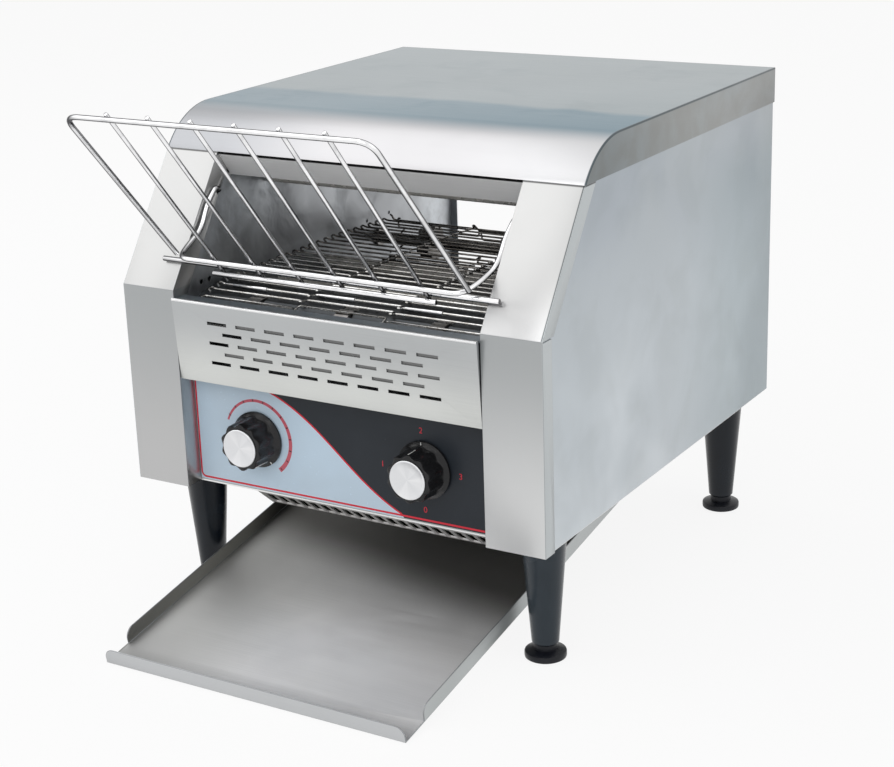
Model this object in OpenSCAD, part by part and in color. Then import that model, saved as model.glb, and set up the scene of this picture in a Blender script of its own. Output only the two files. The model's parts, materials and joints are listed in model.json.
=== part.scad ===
// Conveyor toaster: a wire belt carries bread from the loading rack past quartz heaters,
// and the toast drops at the rear and slides down the long tray to the front.
// Origin: bottom centre of the whole object. The front faces -Y.

/* [Body] */
// Width of the body
body_w = 368; // [350:1:390]
// Depth of the body from the front posts to the rear edge
body_d = 418; // [400:1:440]
// Height of the top of the body above the table
body_h = 387; // [380:1:395]
// Height of the underside of the body above the table
floor_z = 102.5; // [98:0.5:106]
// Thickness of the sheet metal
sheet = 1; // [0.8:0.1:1.2]
// Thickness of the base plate
base_t = 1.2; // [1:0.1:2]
// Width of each front post
post_w = 49; // [46:1:52]
// Height of the break between the upright and the sloped front
break_z = 263; // [260:1:268]
// Angle of the sloped front above the horizontal
slope = 55; // [53:1:57]
// Radius of the front curve of the top cover
cover_r = 68; // [60:1:72]
// Depth of the flange that each post turns into the opening
return_d = 17; // [14:1:20]
// Width of the lip that each post turns onto the side
lip_w = 13.8; // [10:0.2:18]
// Height of the rear window's sill above the table
sill_z = 165; // [150:1:190]
// Height of the tunnel's ceiling above the table
ceiling_z = 337.3; // [335:0.1:341]

/* [Legs and feet] */
// Distance from the side of the body to the middle of a leg
leg_side = 28; // [24:1:32]
// Distance from the front of the body to the middle of the front legs
leg_front = 49; // [44:1:60]
// Distance from the rear of the body to the middle of the rear legs
leg_rear = 37; // [30:1:50]
// Diameter of a leg at its top
leg_top_d = 34.5; // [30:0.5:36]
// Diameter of a leg at its lower end
leg_low_d = 21; // [18:0.5:24]
// Diameter of a foot disc
foot_d = 32; // [26:1:36]
// Thickness of a foot disc
foot_t = 5.5; // [4:0.5:7]
// Height of the lower end of the leg above the table
leg_low_z = 12; // [10:0.5:14]
// Diameter of the levelling stud
stud_d = 8; // [6:0.5:10]

/* [Belt] */
// Pitch of the belt's wires
belt_pitch = 11.3; // [11:0.1:11.6]
// Number of wire pitches between the two shafts
belt_span = 22.5; // [21:0.5:22.5]
// Number of teeth on a belt wheel
wheel_teeth = 9; // [8:1:9]
// Diameter of the belt's wires
belt_wire = 1.8; // [1.4:0.1:2.2]
// Length of a belt wire between its end loops
belt_w = 246; // [236:1:250]
// Height of the belt's wires above the table where they pass over the shafts
belt_z = 255.4; // [253:0.2:257]
// Rise of the upper run between the shafts
belt_rise = 3.5; // [0:0.1:4]
// Distance from the front of the body to the front shaft
shaft_front = 35.3; // [35:0.1:40]
// Diameter of the belt's shafts
shaft_d = 10; // [8:0.5:12]

/* [Loading rack] */
// Length of the rack from its main bar to its top bar
rack_len = 165.7; // [150:0.1:168]
// Angle of the rack above the horizontal
rack_angle = 49.5; // [47:0.5:52]
// Width of the rack between the middles of its side wires
rack_w = 252; // [244:1:254]
// Diameter of the rack's frame wire
rack_wire = 4; // [3:0.2:4.4]
// Diameter of the rack's inner rods
rack_rod = 3.2; // [2.4:0.2:3.6]
// Spacing of the rack's inner rods
rack_pitch = 35.9; // [30:0.1:38]

/* [Toast tray] */
// Distance that the tray reaches in front of the body
tray_reach = 115.5; // [100:0.5:118]
// Distance from the rear end of the tray to the rear of the body
tray_rear = 9; // [8:0.5:30]
// Outer width of the tray
tray_w = 267.4; // [256:0.2:269]
// Angle of the tray above the horizontal
tray_angle = 9.8; // [9.4:0.1:10]
// Height of the tray's lip and side walls
tray_wall = 12.5; // [8:0.5:16]

/* [Controls] */
// Depth of the control panel behind the posts' faces
panel_d = 17; // [15:1:22]
// Height of the control panel
panel_h = 98; // [92:1:100]
// Distance of each knob from the middle of the panel
knob_x = 75.5; // [65:0.5:85]
// Height of the knobs above the table
knob_z = 146.8; // [140:0.2:152]
// Diameter of a knob's skirt
knob_skirt_d = 45; // [40:1:50]
// Diameter of a knob's grip
knob_d = 37; // [32:1:39]
// Depth of a knob in front of the panel
knob_depth = 25.7; // [22:0.1:30]
// Diameter of a knob's metal cap
cap_d = 30; // [24:1:32]
// Diameter of the control spindles
spindle_d = 6; // [4:0.5:7]

/* [Heaters] */
// Diameter of a quartz heater tube
tube_d = 10; // [8:0.5:12]
// Height of the upper heater tubes above the table
upper_heat_z = 326; // [322:0.5:328]
// Spacing of the heater tubes
heater_pitch = 60; // [50:1:62]

/* [Inside] */
// Width of the fan frame
fan_w = 80; // [60:1:90]
// Thickness of the fan frame
fan_t = 25; // [20:1:32]
// Diameter of the gear motor
motor_d = 50; // [40:1:60]
// Bore of the cable gland
gland_bore = 8.4; // [6:0.2:10]

/* [Hidden] */
$fn = 48;

// Clearances
fit = 0.1;
seat = 0.3;
over = 1;

// Main planes
half_w = body_w / 2;
opening_half = half_w - post_w;
wall_x = opening_half + sheet;
skin_x = half_w - sheet;
inner_x = skin_x - sheet;
gland_reach = 7;
main_bar_dy = -3.9;
rack_reach = -main_bar_dy + rack_len * cos(rack_angle) + rack_wire / 2;
front_reach = max(tray_reach, rack_reach);
front_y = front_reach - (front_reach + body_d + gland_reach) / 2;
rear_y = front_y + body_d;
rear_out = rear_y - sheet;
rear_in = rear_out - sheet;
deck_z = floor_z + base_t;
corner_z = body_h - cover_r * (1 - cos(slope));
corner_y = front_y + (corner_z - break_z) / tan(slope);
curve_y = corner_y + cover_r * sin(slope);
panel_y = front_y + panel_d;
window_half = wall_x - 6;
wall_inset = 8;
side_flange = 14;
screw_d = 3;

// Belt
shaft_front_y = front_y + shaft_front;
shaft_rear_y = shaft_front_y + belt_span * belt_pitch;
drop_y = shaft_rear_y + 17;
belt_r = wheel_teeth * belt_pitch / (2 * PI);
shaft_z = belt_z - belt_r;
wire_count = 2 * belt_span + wheel_teeth;
belt_phase = 0.37;
belt_top = belt_z + belt_rise;
front_rise = 2.5;
rear_rise = 7;
jog = 3.4;
jog_x = belt_w / 6;
loop_out = 2.6;
loop_up = 2.4;
wheel_x = belt_w / 3;
wheel_w = 12;

// Heaters
tube_bore = tube_d - 2;
tube_half = wall_x + 10;
cap_len = 16;
lower_heat_y = shaft_front_y + 46;
upper_heat_y = corner_y + 67;
reflector_z = shaft_z - tube_d / 2 - 4.5;

// Rack: the frame wires lie in one plane, which rises towards the front
hook_y = front_y + 64;
hook_z = 327;
main_bar_z = 290.9;
main_bar_y = front_y + main_bar_dy;
rack_dir = [-cos(rack_angle), sin(rack_angle)];
rack_normal = [sin(rack_angle), cos(rack_angle)];
rod_off = (rack_wire + rack_rod) / 2 + 0.02;
low_bar_along = -15;
rest_bar_d = 4.2;
rest_bar_half = 147.7;
rest_bar_shift = -3;
rest_off = rod_off + (rack_rod + rest_bar_d) / 2 + 0.02;
low_bar_half = 98.2;
rack_rods_n = 6;
corner_bend = 9;

// Tray
tray_y = front_y - tray_reach + tray_wall * sin(tray_angle);
tray_len = (rear_y - tray_rear - tray_y) / cos(tray_angle);
tray_top_z = floor_z - 4.5;
wall_start = 25.5;
tray_round = 8;

// Legs
leg_x = half_w - leg_side;
leg_front_y = front_y + leg_front;
leg_rear_y = rear_y - leg_rear;
collar_t = 6;
collar_d = leg_top_d + 1.5;
stud_up = 30;
bolt_d = 8;
bolt_down = 20;

// Controls
knob_gap = 0.5;
overlay_t = 0.3;
skirt_t = 4;
bushing_d = 9.5;
bushing_out = 4.5;
nut_t = 2.4;

// Shapes and helpers
module along_x(x0, x1) translate([x0, 0, 0]) rotate([90, 0, 90]) linear_extrude(x1 - x0) children();
module both_sides() {
    children();
    mirror([1, 0, 0]) children();
}
module x_rod(d, x0, x1, y, z) translate([x0, y, z]) rotate([0, 90, 0]) cylinder(d = d, h = x1 - x0);
module y_rod(d, y0, y1, x, z) translate([x, y0, z]) rotate([-90, 0, 0]) cylinder(d = d, h = y1 - y0);
module wire(p, q, d) {
    v = q - p;
    translate(p) rotate([0, acos(v[2] / norm(v)), atan2(v[1], v[0])]) cylinder(d = d, h = norm(v), $fn = 24);
}
// Bent wire: every second length is a little thicker and takes in the ends of its neighbours
thicker = 1.06;
module wire_path(points, d) for (i = [0 : len(points) - 2]) {
    v = (points[i + 1] - points[i]) / norm(points[i + 1] - points[i]) * d / 2;
    if (i % 2 == 0) wire(points[i], points[i + 1], d);
    else wire(points[i] - v, points[i + 1] + v, d * thicker);
}

// Side view of the front: upright to the break, then the slope, moved in by i
function front_line(i) = [
    [front_y + i, floor_z],
    [front_y + i, break_z - i * tan((90 - slope) / 2)],
    [corner_y + i / sin(slope), corner_z]
];
function reversed(list) = [for (i = [len(list) - 1 : -1 : 0]) list[i]];
module front_band(i0, i1) polygon(concat(front_line(i0), reversed(front_line(i1))));
module cover_section(inset, bottom) {
    intersection() {
        union() {
            translate([curve_y, bottom]) square([rear_y - inset - curve_y, body_h - inset - bottom]);
            translate([curve_y, body_h - cover_r]) circle(r = cover_r - inset, $fn = 96);
        }
        translate([corner_y, bottom]) square([rear_y - corner_y, body_h - bottom]);
    }
}

// Casing
module base_plate() color("silver") difference() {
    translate([-inner_x, front_y + sheet, floor_z])
        cube([2 * inner_x, rear_in - front_y - sheet, base_t]);
    translate([-wall_x, front_y, floor_z - over]) cube([2 * wall_x, panel_d, base_t + 2 * over]);
    translate([-window_half, drop_y, floor_z - over])
        cube([2 * window_half, rear_in - 3 - drop_y, base_t + 2 * over]);
    for (x = [-leg_x, leg_x], y = [leg_front_y, leg_rear_y])
        translate([x, y, floor_z - over]) cylinder(d = bolt_d + 0.4, h = base_t + 2 * over);
    for (a = [0 : 30 : 330], r = [fan_w / 5, fan_w / 2.8])
        translate([fan_x + r * cos(a), fan_y + r * sin(a), floor_z - over])
            cylinder(d = 6, h = base_t + 2 * over);
    translate([strip_x0 + 6, panel_y + 4, floor_z - over])
        cube([strip_x1 - strip_x0 - 12, strip_run - 7, base_t + 2 * over]);
}
module side_outline() {
    polygon(concat([[front_y + sheet, deck_z]],
        [front_line(sheet)[1], front_line(sheet)[2]],
        [[rear_out, corner_z], [rear_out, deck_z]]));
    intersection() {
        cover_section(sheet, corner_z - over);
        translate([corner_y, corner_z - over]) square([rear_out - corner_y, 16]);
    }
}
module side_panel() {
    difference() {
        union() {
            along_x(inner_x, skin_x) side_outline();
            translate([inner_x - side_flange, rear_in - sheet, deck_z])
                cube([side_flange + sheet / 2, sheet, corner_z - deck_z]);
        }
        rear_screw_holes();
    }
}
module side_panel_right() color("lightsteelblue") side_panel();
module side_panel_left() color("lightsteelblue") mirror([1, 0, 0]) side_panel();
module front_post() {
    difference() {
        union() {
            along_x(opening_half, half_w) front_band(0, sheet);
            along_x(opening_half, wall_x) front_band(0, return_d);
            translate([skin_x, front_y, floor_z]) cube([sheet, lip_w, break_z - floor_z - 1]);
            along_x(skin_x, half_w) polygon([
                front_line(0)[1], front_line(0)[2], front_line(0)[2] + [lip_w / sin(slope), 0],
                front_line(0)[1] + [lip_w / sin(slope), 0]]);
        }
        hook_hole();
    }
}
module front_post_right() color("gainsboro") front_post();
module front_post_left() color("gainsboro") mirror([1, 0, 0]) front_post();
module top_cover() color("silver") difference() {
    along_x(-half_w, half_w) cover_section(0, corner_z);
    along_x(-skin_x, skin_x) cover_section(sheet, corner_z - over);
    for (x = rear_screw_x) y_rod(screw_d + 0.2, rear_out - over, rear_y + over, x, cover_screw_z);
}
module rear_panel() color("silver") difference() {
    translate([-inner_x, rear_in, deck_z]) cube([2 * inner_x, sheet, body_h - sheet - deck_z]);
    translate([-window_half, rear_in - over, sill_z])
        cube([2 * window_half, sheet + 2 * over, ceiling_z - 4 - sill_z]);
    y_rod(gland_thread_d + 0.4, rear_in - over, rear_out + over, gland_x, gland_z);
    for (i = [0 : 4]) translate([-inner_x + 12, rear_in - over, 195 + i * 16])
        cube([inner_x - window_half - 18, sheet + 2 * over, 4]);
    rear_screw_holes();
    for (x = rear_screw_x) y_rod(screw_d + 0.2, rear_in - over, rear_out + over, x, cover_screw_z);
}

// Screws at the rear
rear_screw_x = [-inner_x + side_flange / 2 + 1, inner_x - side_flange / 2 - 1];
rear_screw_z = [floor_z + 18, corner_z - 25.5];
cover_screw_z = body_h - 14;
module rear_screw_holes() for (x = rear_screw_x, z = rear_screw_z)
    y_rod(screw_d + 0.2, rear_in - sheet - over, rear_out + over, x, z);
module screw(x, y, z) {
    difference() {
        y_rod(2 * screw_d, y, y + 1.8, x, z);
        translate([x - screw_d, y + 1, z - 0.4]) cube([2 * screw_d, 1, 0.8]);
    }
    y_rod(screw_d, y - 5, y + 0.5, x, z);
}
module case_screws() color("dimgray") {
    for (x = rear_screw_x, z = rear_screw_z) screw(x, rear_out, z);
    for (x = rear_screw_x) screw(x, rear_y, cover_screw_z);
}

// Walls of the toasting tunnel
module inner_wall() {
    difference() {
        along_x(wall_x, wall_x + sheet) polygon([
            [front_line(wall_inset)[0][0], deck_z],
            front_line(wall_inset)[1],
            [corner_y + wall_inset / sin(slope) - (corner_z - ceiling_z) / tan(slope), ceiling_z],
            [rear_in, ceiling_z],
            [rear_in, deck_z]
        ]);
        for (y = [shaft_front_y, shaft_rear_y])
            x_rod(bush_d + 0.2, wall_x - over, wall_x + sheet + over, y, shaft_z);
        for (i = [0 : 2]) {
            x_rod(tube_d + 2 * seat, wall_x - over, wall_x + sheet + over,
                upper_heat_y + i * heater_pitch, upper_heat_z);
            x_rod(tube_d + 2 * seat, wall_x - over, wall_x + sheet + over,
                lower_heat_y + i * heater_pitch, shaft_z);
        }
        for (dy = [1, 11]) x_rod(4, wall_x - over, wall_x + sheet + over, shaft_front_y + dy, belt_top + 2);
        hook_hole();
        for (y = [-1, 1], z = [-1, 1])
            x_rod(screw_d + 0.2, wall_x - over, wall_x + sheet + over,
                shaft_rear_y + y * motor_bolt, shaft_z + z * motor_bolt);
    }
}
module inner_wall_right() color("darkgray") inner_wall();
module inner_wall_left() color("darkgray") mirror([1, 0, 0]) inner_wall();
module hook_hole() x_rod(rack_wire * thicker + 2 * fit, opening_half - over, wall_x + sheet + over, hook_y, hook_z);
module tunnel_ceiling() color("gray") {
    lip_top = [corner_y + 0.4, corner_z - over];
    lip_low = [corner_y + 14.5, ceiling_z];
    along_x(-opening_half + fit, opening_half - fit) polygon([
        lip_top, lip_low, lip_low + [sheet, sheet], lip_top + [sheet * 1.2, sheet * 0.8]]);
    translate([-wall_x - sheet, lip_low[0], ceiling_z])
        cube([2 * (wall_x + sheet), rear_in - lip_low[0], sheet]);
}
module heat_shield() color("gray") {
    top = floor_z + panel_h;
    y0 = panel_y + sheet;
    y1 = drop_y - 10;
    along_x(-wall_x, wall_x) polygon([
        [y0, top], [y1, top], [drop_y - 2, deck_z], [drop_y - 2 - sheet, deck_z],
        [y1 - sheet, top - sheet], [y0, top - sheet]]);
}
module lower_reflector() color("silver") {
    y0 = shaft_front_y + belt_r + 4;
    y1 = lower_heat_y + 2 * heater_pitch + 9;
    along_x(-wall_x, wall_x) polygon([
        [y0, reflector_z + 6], [y0 + sheet, reflector_z + 6], [y0 + 4, reflector_z + sheet],
        [y1 - 4, reflector_z + sheet], [y1 - sheet, reflector_z + 6], [y1, reflector_z + 6],
        [y1 - 3, reflector_z], [y0 + 3, reflector_z]]);
}

// Front baffle and the ramp behind its top edge
baffle_low = [front_y + 1, 192.5];
baffle_top = [front_y - 4, 258];
baffle_half = opening_half - 0.6;
slot_w = 18;
slot_h = 2.6;
slot_pitch = 26.6;
slot_rows = 5;
slot_row_pitch = 8;
slot_top_z = 242;
baffle_flange = 11;
ramp_drop = 10;
module front_baffle() color("lightgray") difference() {
    union() {
        along_x(-baffle_half, baffle_half)
            polygon([baffle_low, baffle_top, baffle_top + [sheet, 0], baffle_low + [sheet, 0]]);
        along_x(-baffle_half, baffle_half)
            polygon([baffle_top, baffle_top + [3, 0], baffle_top + [3, -sheet], baffle_top + [0.1, -sheet]]);
        both_sides() along_x(baffle_half - sheet, baffle_half) polygon([
            baffle_low, baffle_top, baffle_top + [baffle_flange, -4], baffle_low + [baffle_flange, 4]]);
    }
    for (row = [0 : slot_rows - 1]) {
        n = 8 - row % 2;
        for (i = [0 : n - 1])
            translate([(i - (n - 1) / 2) * slot_pitch - slot_w / 2, front_y - 10,
                slot_top_z - row * slot_row_pitch - slot_h / 2])
                cube([slot_w, 20, slot_h]);
    }
}
module feed_ramp() color("gray") {
    p0 = baffle_top + [4, -0.5];
    p1 = [shaft_front_y - belt_r - loop_up - belt_wire - 1, belt_z + 0.9];
    along_x(-opening_half + seat, opening_half - seat) polygon([
        p0, p1, p1 + [0, -ramp_drop], p1 + [-sheet, -ramp_drop], p1 + [-sheet, -sheet], p0 + [0, -sheet]]);
}

// Deck under the front of the upper run, with a slot over each idler wheel
module belt_deck() color("slategray") difference() {
    p0 = [shaft_front_y - 10, belt_z - 8.4];
    p1 = [shaft_front_y, belt_z - 2.6];
    p2 = [shaft_front_y + front_rise * belt_pitch, belt_top - 2.4];
    p3 = [lower_heat_y - tube_d - 2, belt_top - 2.4];
    along_x(-wall_x, wall_x) polygon([
        p0, p1, p2, p3, p3 + [0, -8], p3 + [-sheet, -8], p3 + [-sheet, -sheet], p2 + [0, -sheet],
        p1 + [0.5, -sheet], p0 + [0.5, -sheet]]);
    for (s = [-1 : 1]) translate([s * wheel_x - wheel_w / 2 - 1, p0[0] - over, shaft_z])
        cube([wheel_w + 2, 21, belt_rise + belt_r]);
}

// Control panel
module control_panel() color("silver") difference() {
    translate([-wall_x, panel_y, deck_z]) cube([2 * wall_x, sheet, floor_z + panel_h - deck_z]);
    for (x = [-knob_x, knob_x]) y_rod(bushing_d + 0.4, panel_y - over, panel_y + sheet + over, x, knob_z);
}
module panel_overlay() color("dimgray") difference() {
    translate([-opening_half + seat, panel_y - overlay_t, deck_z + 1])
        cube([2 * (opening_half - seat), overlay_t, floor_z + panel_h - 4 - deck_z]);
    for (x = [-knob_x, knob_x]) y_rod(bushing_d + 0.4, panel_y - over, panel_y + over, x, knob_z);
}
module knob(x) {
    back = panel_y - overlay_t - knob_gap;
    face = panel_y - knob_depth + cap_t;
    difference() {
        union() {
            y_rod(knob_skirt_d, back - skirt_t, back, x, knob_z);
            translate([x, back - skirt_t + 0.5, knob_z]) rotate([90, 0, 0])
                cylinder(d1 = knob_d, d2 = knob_d - 2.4, h = back - skirt_t + 0.5 - face);
        }
        for (a = [0 : 36 : 324])
            y_rod(9, face - over, back - skirt_t, x + (knob_d / 2 + 2.6) * cos(a), knob_z + (knob_d / 2 + 2.6) * sin(a));
        y_rod(2 * bushing_d, back - 5.5, back + over, x, knob_z);
        y_rod(spindle_d + 0.1, face + 5, back, x, knob_z);
    }
}
cap_t = 1.2;
module knob_cap(x) {
    face = panel_y - knob_depth;
    y_rod(cap_d, face, face + cap_t, x, knob_z);
}
module spindle(x) y_rod(spindle_d, panel_y - knob_depth + cap_t + 6, panel_y + 8, x, knob_z);
module speed_knob() color("black") knob(-knob_x);
module switch_knob() color("black") knob(knob_x);
module speed_knob_cap() color("silver") knob_cap(-knob_x);
module switch_knob_cap() color("silver") knob_cap(knob_x);
module speed_spindle() color("lightgray") spindle(-knob_x);
module switch_spindle() color("lightgray") spindle(knob_x);
module control_bushing(x) y_rod(bushing_d, panel_y - overlay_t - bushing_out, panel_y + sheet + 2, x, knob_z);
module spindle_bore(x) y_rod(spindle_d + 2 * fit, panel_y - knob_depth, panel_y + 10, x, knob_z);
module speed_control() color("darkslategray") difference() {
    union() {
        control_bushing(-knob_x);
        translate([-knob_x - 19, panel_y + sheet, knob_z - 16]) cube([38, 20, 32]);
        for (i = [-1 : 1]) translate([-knob_x + i * 10 - 3, panel_y + sheet + 19.5, knob_z - 8]) cube([6, 9, 0.8]);
    }
    spindle_bore(-knob_x);
}
module rotary_switch() color("saddlebrown") difference() {
    union() {
        control_bushing(knob_x);
        y_rod(42, panel_y + sheet, panel_y + sheet + 32, knob_x, knob_z);
        for (a = [0 : 60 : 300])
            translate([knob_x, panel_y + sheet + 31.5, knob_z]) rotate([0, a, 0])
                translate([12, 0, -0.4]) cube([6, 9, 0.8]);
    }
    spindle_bore(knob_x);
}
module control_nuts() color("silver") for (x = [-knob_x, knob_x]) difference() {
    translate([x, panel_y - overlay_t, knob_z]) rotate([90, 0, 0]) cylinder(d = 16, h = nut_t, $fn = 6);
    y_rod(bushing_d + 2 * fit, panel_y - overlay_t - nut_t - over, panel_y + over, x, knob_z);
}

// Perforated strip under the control panel
strip_x0 = -80;
strip_x1 = opening_half - 1;
strip_drop = 15.5;
strip_run = 18;
strip_slot = 6.4;
strip_pitch = 10;
module vent_strip() color("gray") difference() {
    union() {
        along_x(strip_x0, strip_x1) polygon([
            [panel_y, floor_z], [panel_y + strip_run, floor_z - strip_drop],
            [panel_y + strip_run + sheet, floor_z - strip_drop],
            [panel_y + strip_run + sheet, floor_z], [panel_y + strip_run, floor_z],
            [panel_y + strip_run, floor_z - strip_drop + 1.4], [panel_y + 1.6, floor_z]]);
        for (x = [strip_x0, strip_x1 - sheet])
            along_x(x, x + sheet) polygon([
                [panel_y, floor_z], [panel_y + strip_run, floor_z - strip_drop],
                [panel_y + strip_run, floor_z]]);
    }
    for (x = [strip_x0 + 6 : strip_pitch : strip_x1 - 8])
        translate([x, panel_y + 2, floor_z - strip_drop + 1.8])
            cube([strip_slot, strip_run - 4.5, strip_drop - 4]);
}

// Heaters
module heater_tube(y, z) difference() {
    x_rod(tube_d, -tube_half, tube_half, y, z);
    x_rod(tube_bore, -tube_half - over, tube_half + over, y, z);
}
module upper_heaters() color("white") for (i = [0 : 2]) heater_tube(upper_heat_y + i * heater_pitch, upper_heat_z);
module lower_heaters() color("white") for (i = [0 : 2]) heater_tube(lower_heat_y + i * heater_pitch, shaft_z);
module heater_cap(y, z) difference() {
    x_rod(tube_d + 8, wall_x + sheet, wall_x + sheet + cap_len, y, z);
    x_rod(tube_d + 2 * fit, wall_x, tube_half + seat, y, z);
}
module heater_caps() color("linen") both_sides() for (i = [0 : 2]) {
    heater_cap(upper_heat_y + i * heater_pitch, upper_heat_z);
    heater_cap(lower_heat_y + i * heater_pitch, shaft_z);
}

// Belt: each wire has three straight spaces, two jogs and a loop at each end that hooks
// behind the wire in front of it
wire_half = belt_w / 2;
back_t = -jog / 2 - belt_pitch + belt_wire + seat;
right_half_wire = [
    [0, jog / 2, 0], [jog_x - 1, jog / 2, 0], [jog_x + 1, -jog / 2, 0], [wire_half, -jog / 2, 0],
    [wire_half + loop_out, back_t / 2 - 1.2, loop_up], [wire_half - 1, back_t, -0.4]];
function mirrored(p) = [-p[0], p[1], p[2]];
full_wire = concat(reversed([for (i = [1 : len(right_half_wire) - 1]) mirrored(right_half_wire[i])]),
    [for (i = [1 : len(right_half_wire) - 1]) right_half_wire[i]]);
module belt_place(i) {
    run = belt_span;
    half = wheel_teeth / 2;
    s = i + belt_phase;
    a = s <= run ? 0 : s <= run + half ? (s - run) * 180 / half
        : s <= 2 * run + half ? 180 : 180 + (s - 2 * run - half) * 180 / half;
    y = s <= run ? shaft_front_y + s * belt_pitch : s <= run + half ? shaft_rear_y
        : s <= 2 * run + half ? shaft_rear_y - (s - run - half) * belt_pitch : shaft_front_y;
    lift = s <= run ? belt_rise * min(1, s / front_rise, (run - s) / rear_rise) : 0;
    translate([0, y, shaft_z + lift]) rotate([-a, 0, 0]) translate([0, 0, belt_r]) children();
}
module belt() color("gray") for (i = [0 : wire_count - 1]) belt_place(i) wire_path(full_wire, belt_wire);
sleeve_len = 32;
sleeve_d = 3.4;
module splice_sleeves() color("lightgray") belt_place(1) for (s = [-1 : 1])
    difference() {
        t = s == 0 ? jog / 2 : -jog / 2;
        x = s * 79 - 35.5;
        x_rod(sleeve_d, x, x + sleeve_len, t, 0);
        x_rod(belt_wire + 2 * fit, x - over, x + sleeve_len + over, t, 0);
    }

// Shafts and wheels of the belt
bush_d = 16;
bush_flange = 22;
bush_out = wall_x + 6;
shaft_out = wall_x + 13;
module shaft_bushing(y) difference() {
    union() {
        x_rod(bush_d, wall_x - 3, bush_out, y, shaft_z);
        x_rod(bush_flange, wall_x + sheet, wall_x + sheet + 2.5, y, shaft_z);
    }
    x_rod(shaft_d + fit, wall_x - 4, wall_x + 10, y, shaft_z);
}
module shaft_bushings() color("peru") both_sides() {
    shaft_bushing(shaft_front_y);
    shaft_bushing(shaft_rear_y);
}
module drive_shaft() color("gray") x_rod(shaft_d, -shaft_out, shaft_out, shaft_rear_y, shaft_z);
module idler_shaft() color("gray") x_rod(shaft_d, -shaft_out, shaft_out, shaft_front_y, shaft_z);
tip_r = belt_r - belt_wire / 2 - seat;
module toothed_wheel(x, y) difference() {
    translate([x - wheel_w / 2, y, shaft_z]) rotate([90, 0, 90]) linear_extrude(wheel_w) difference() {
        circle(r = tip_r);
        for (a = [0 : wheel_teeth - 1])
            rotate((a - belt_phase) * 360 / wheel_teeth) translate([tip_r + 1, 0]) circle(d = 6);
    }
    x_rod(shaft_d + fit, x - wheel_w, x + wheel_w, y, shaft_z);
}
module drive_wheels() color("dimgray") for (s = [-1 : 1]) toothed_wheel(s * wheel_x, shaft_rear_y);
module plain_wheel(x, y) difference() {
    x_rod(2 * tip_r, x - wheel_w / 2, x + wheel_w / 2, y, shaft_z);
    x_rod(shaft_d + fit, x - wheel_w, x + wheel_w, y, shaft_z);
}
module idler_wheels() color("dimgray") for (s = [-1 : 1]) plain_wheel(s * wheel_x, shaft_front_y);

// Gear motor on four posts in the right-hand side space, in line with the drive shaft
motor_t = 20;
motor_x = inner_x - 1.5 - motor_t;
motor_bolt = motor_d / 2 - 7;
motor_shaft_d = 6;
coupling_x0 = bush_out + seat;
coupling_x1 = motor_x - 1;
module shaft_coupling() color("goldenrod") difference() {
    x_rod(15, coupling_x0, coupling_x1, shaft_rear_y, shaft_z);
    x_rod(shaft_d + fit, coupling_x0 - over, shaft_out + seat, shaft_rear_y, shaft_z);
    x_rod(motor_shaft_d + fit, shaft_out, coupling_x1 + over, shaft_rear_y, shaft_z);
}
module motor_shaft() color("lightgray")
    x_rod(motor_shaft_d, shaft_out + 0.5, motor_x + 8, shaft_rear_y, shaft_z);
module gear_motor() color("darkgray") difference() {
    union() {
        x_rod(motor_d, motor_x, motor_x + motor_t, shaft_rear_y, shaft_z);
        for (y = [-1, 1], z = [-1, 1])
            x_rod(8, wall_x + sheet, motor_x + 2, shaft_rear_y + y * motor_bolt, shaft_z + z * motor_bolt);
    }
    x_rod(motor_shaft_d + 2 * fit, motor_x - over, motor_x + 9, shaft_rear_y, shaft_z);
}

// Cooling fan on the base plate
fan_x = -30;
fan_y = panel_y + 100;
fan_bore = fan_w - 4;
hub_d = 32;
hub_floor = 4;
module fan_frame() color("black") translate([fan_x, fan_y, deck_z]) {
    difference() {
        translate([-fan_w / 2, -fan_w / 2, 0]) cube([fan_w, fan_w, fan_t]);
        translate([0, 0, -over]) cylinder(d = fan_bore, h = fan_t + 2 * over);
    }
    difference() {
        union() {
            cylinder(d = hub_d, h = hub_floor);
            for (a = [45, 135]) rotate(a) translate([-fan_w / 2, -2, 0]) cube([fan_w, 4, 3]);
        }
        translate([0, 0, -over]) cylinder(d = 3 + 2 * fit, h = hub_floor + 2 * over);
    }
}
module fan_rotor() color("dimgray") translate([fan_x, fan_y, deck_z]) {
    translate([0, 0, 1]) cylinder(d = 3, h = hub_floor + 2);
    translate([0, 0, hub_floor + 0.5]) cylinder(d = hub_d, h = fan_t - hub_floor - 2);
    intersection() {
        translate([0, 0, hub_floor + 1]) cylinder(d = fan_bore - 3, h = fan_t - hub_floor - 3);
        for (a = [0 : 360 / 7 : 359]) rotate(a) translate([hub_d / 2 - 1, 0, fan_t / 2 + 1]) rotate([38, 0, 0])
            translate([0, -14, -0.75]) cube([fan_w / 2, 28, 1.5]);
    }
}

// Electrical inlet at the rear
gland_x = inner_x - side_flange - 13.5;
gland_z = floor_z + 32;
gland_thread_d = 16;
module cable_gland() color("black") difference() {
    union() {
        y_rod(gland_thread_d, rear_in - 11, rear_out + 1, gland_x, gland_z);
        translate([gland_x, rear_out + 4, gland_z]) rotate([90, 0, 0]) cylinder(d = 25, h = 4, $fn = 6);
        translate([gland_x, rear_y + gland_reach, gland_z]) rotate([90, 0, 0])
            cylinder(d1 = 15, d2 = 19, h = rear_y + gland_reach - rear_out - 4);
    }
    y_rod(gland_bore, rear_in - 12, rear_y + gland_reach + over, gland_x, gland_z);
}
module gland_nut() color("black") difference() {
    translate([gland_x, rear_in, gland_z]) rotate([90, 0, 0]) cylinder(d = 26, h = 4, $fn = 6);
    y_rod(gland_thread_d + 2 * fit, rear_in - 5, rear_in + over, gland_x, gland_z);
}
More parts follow.
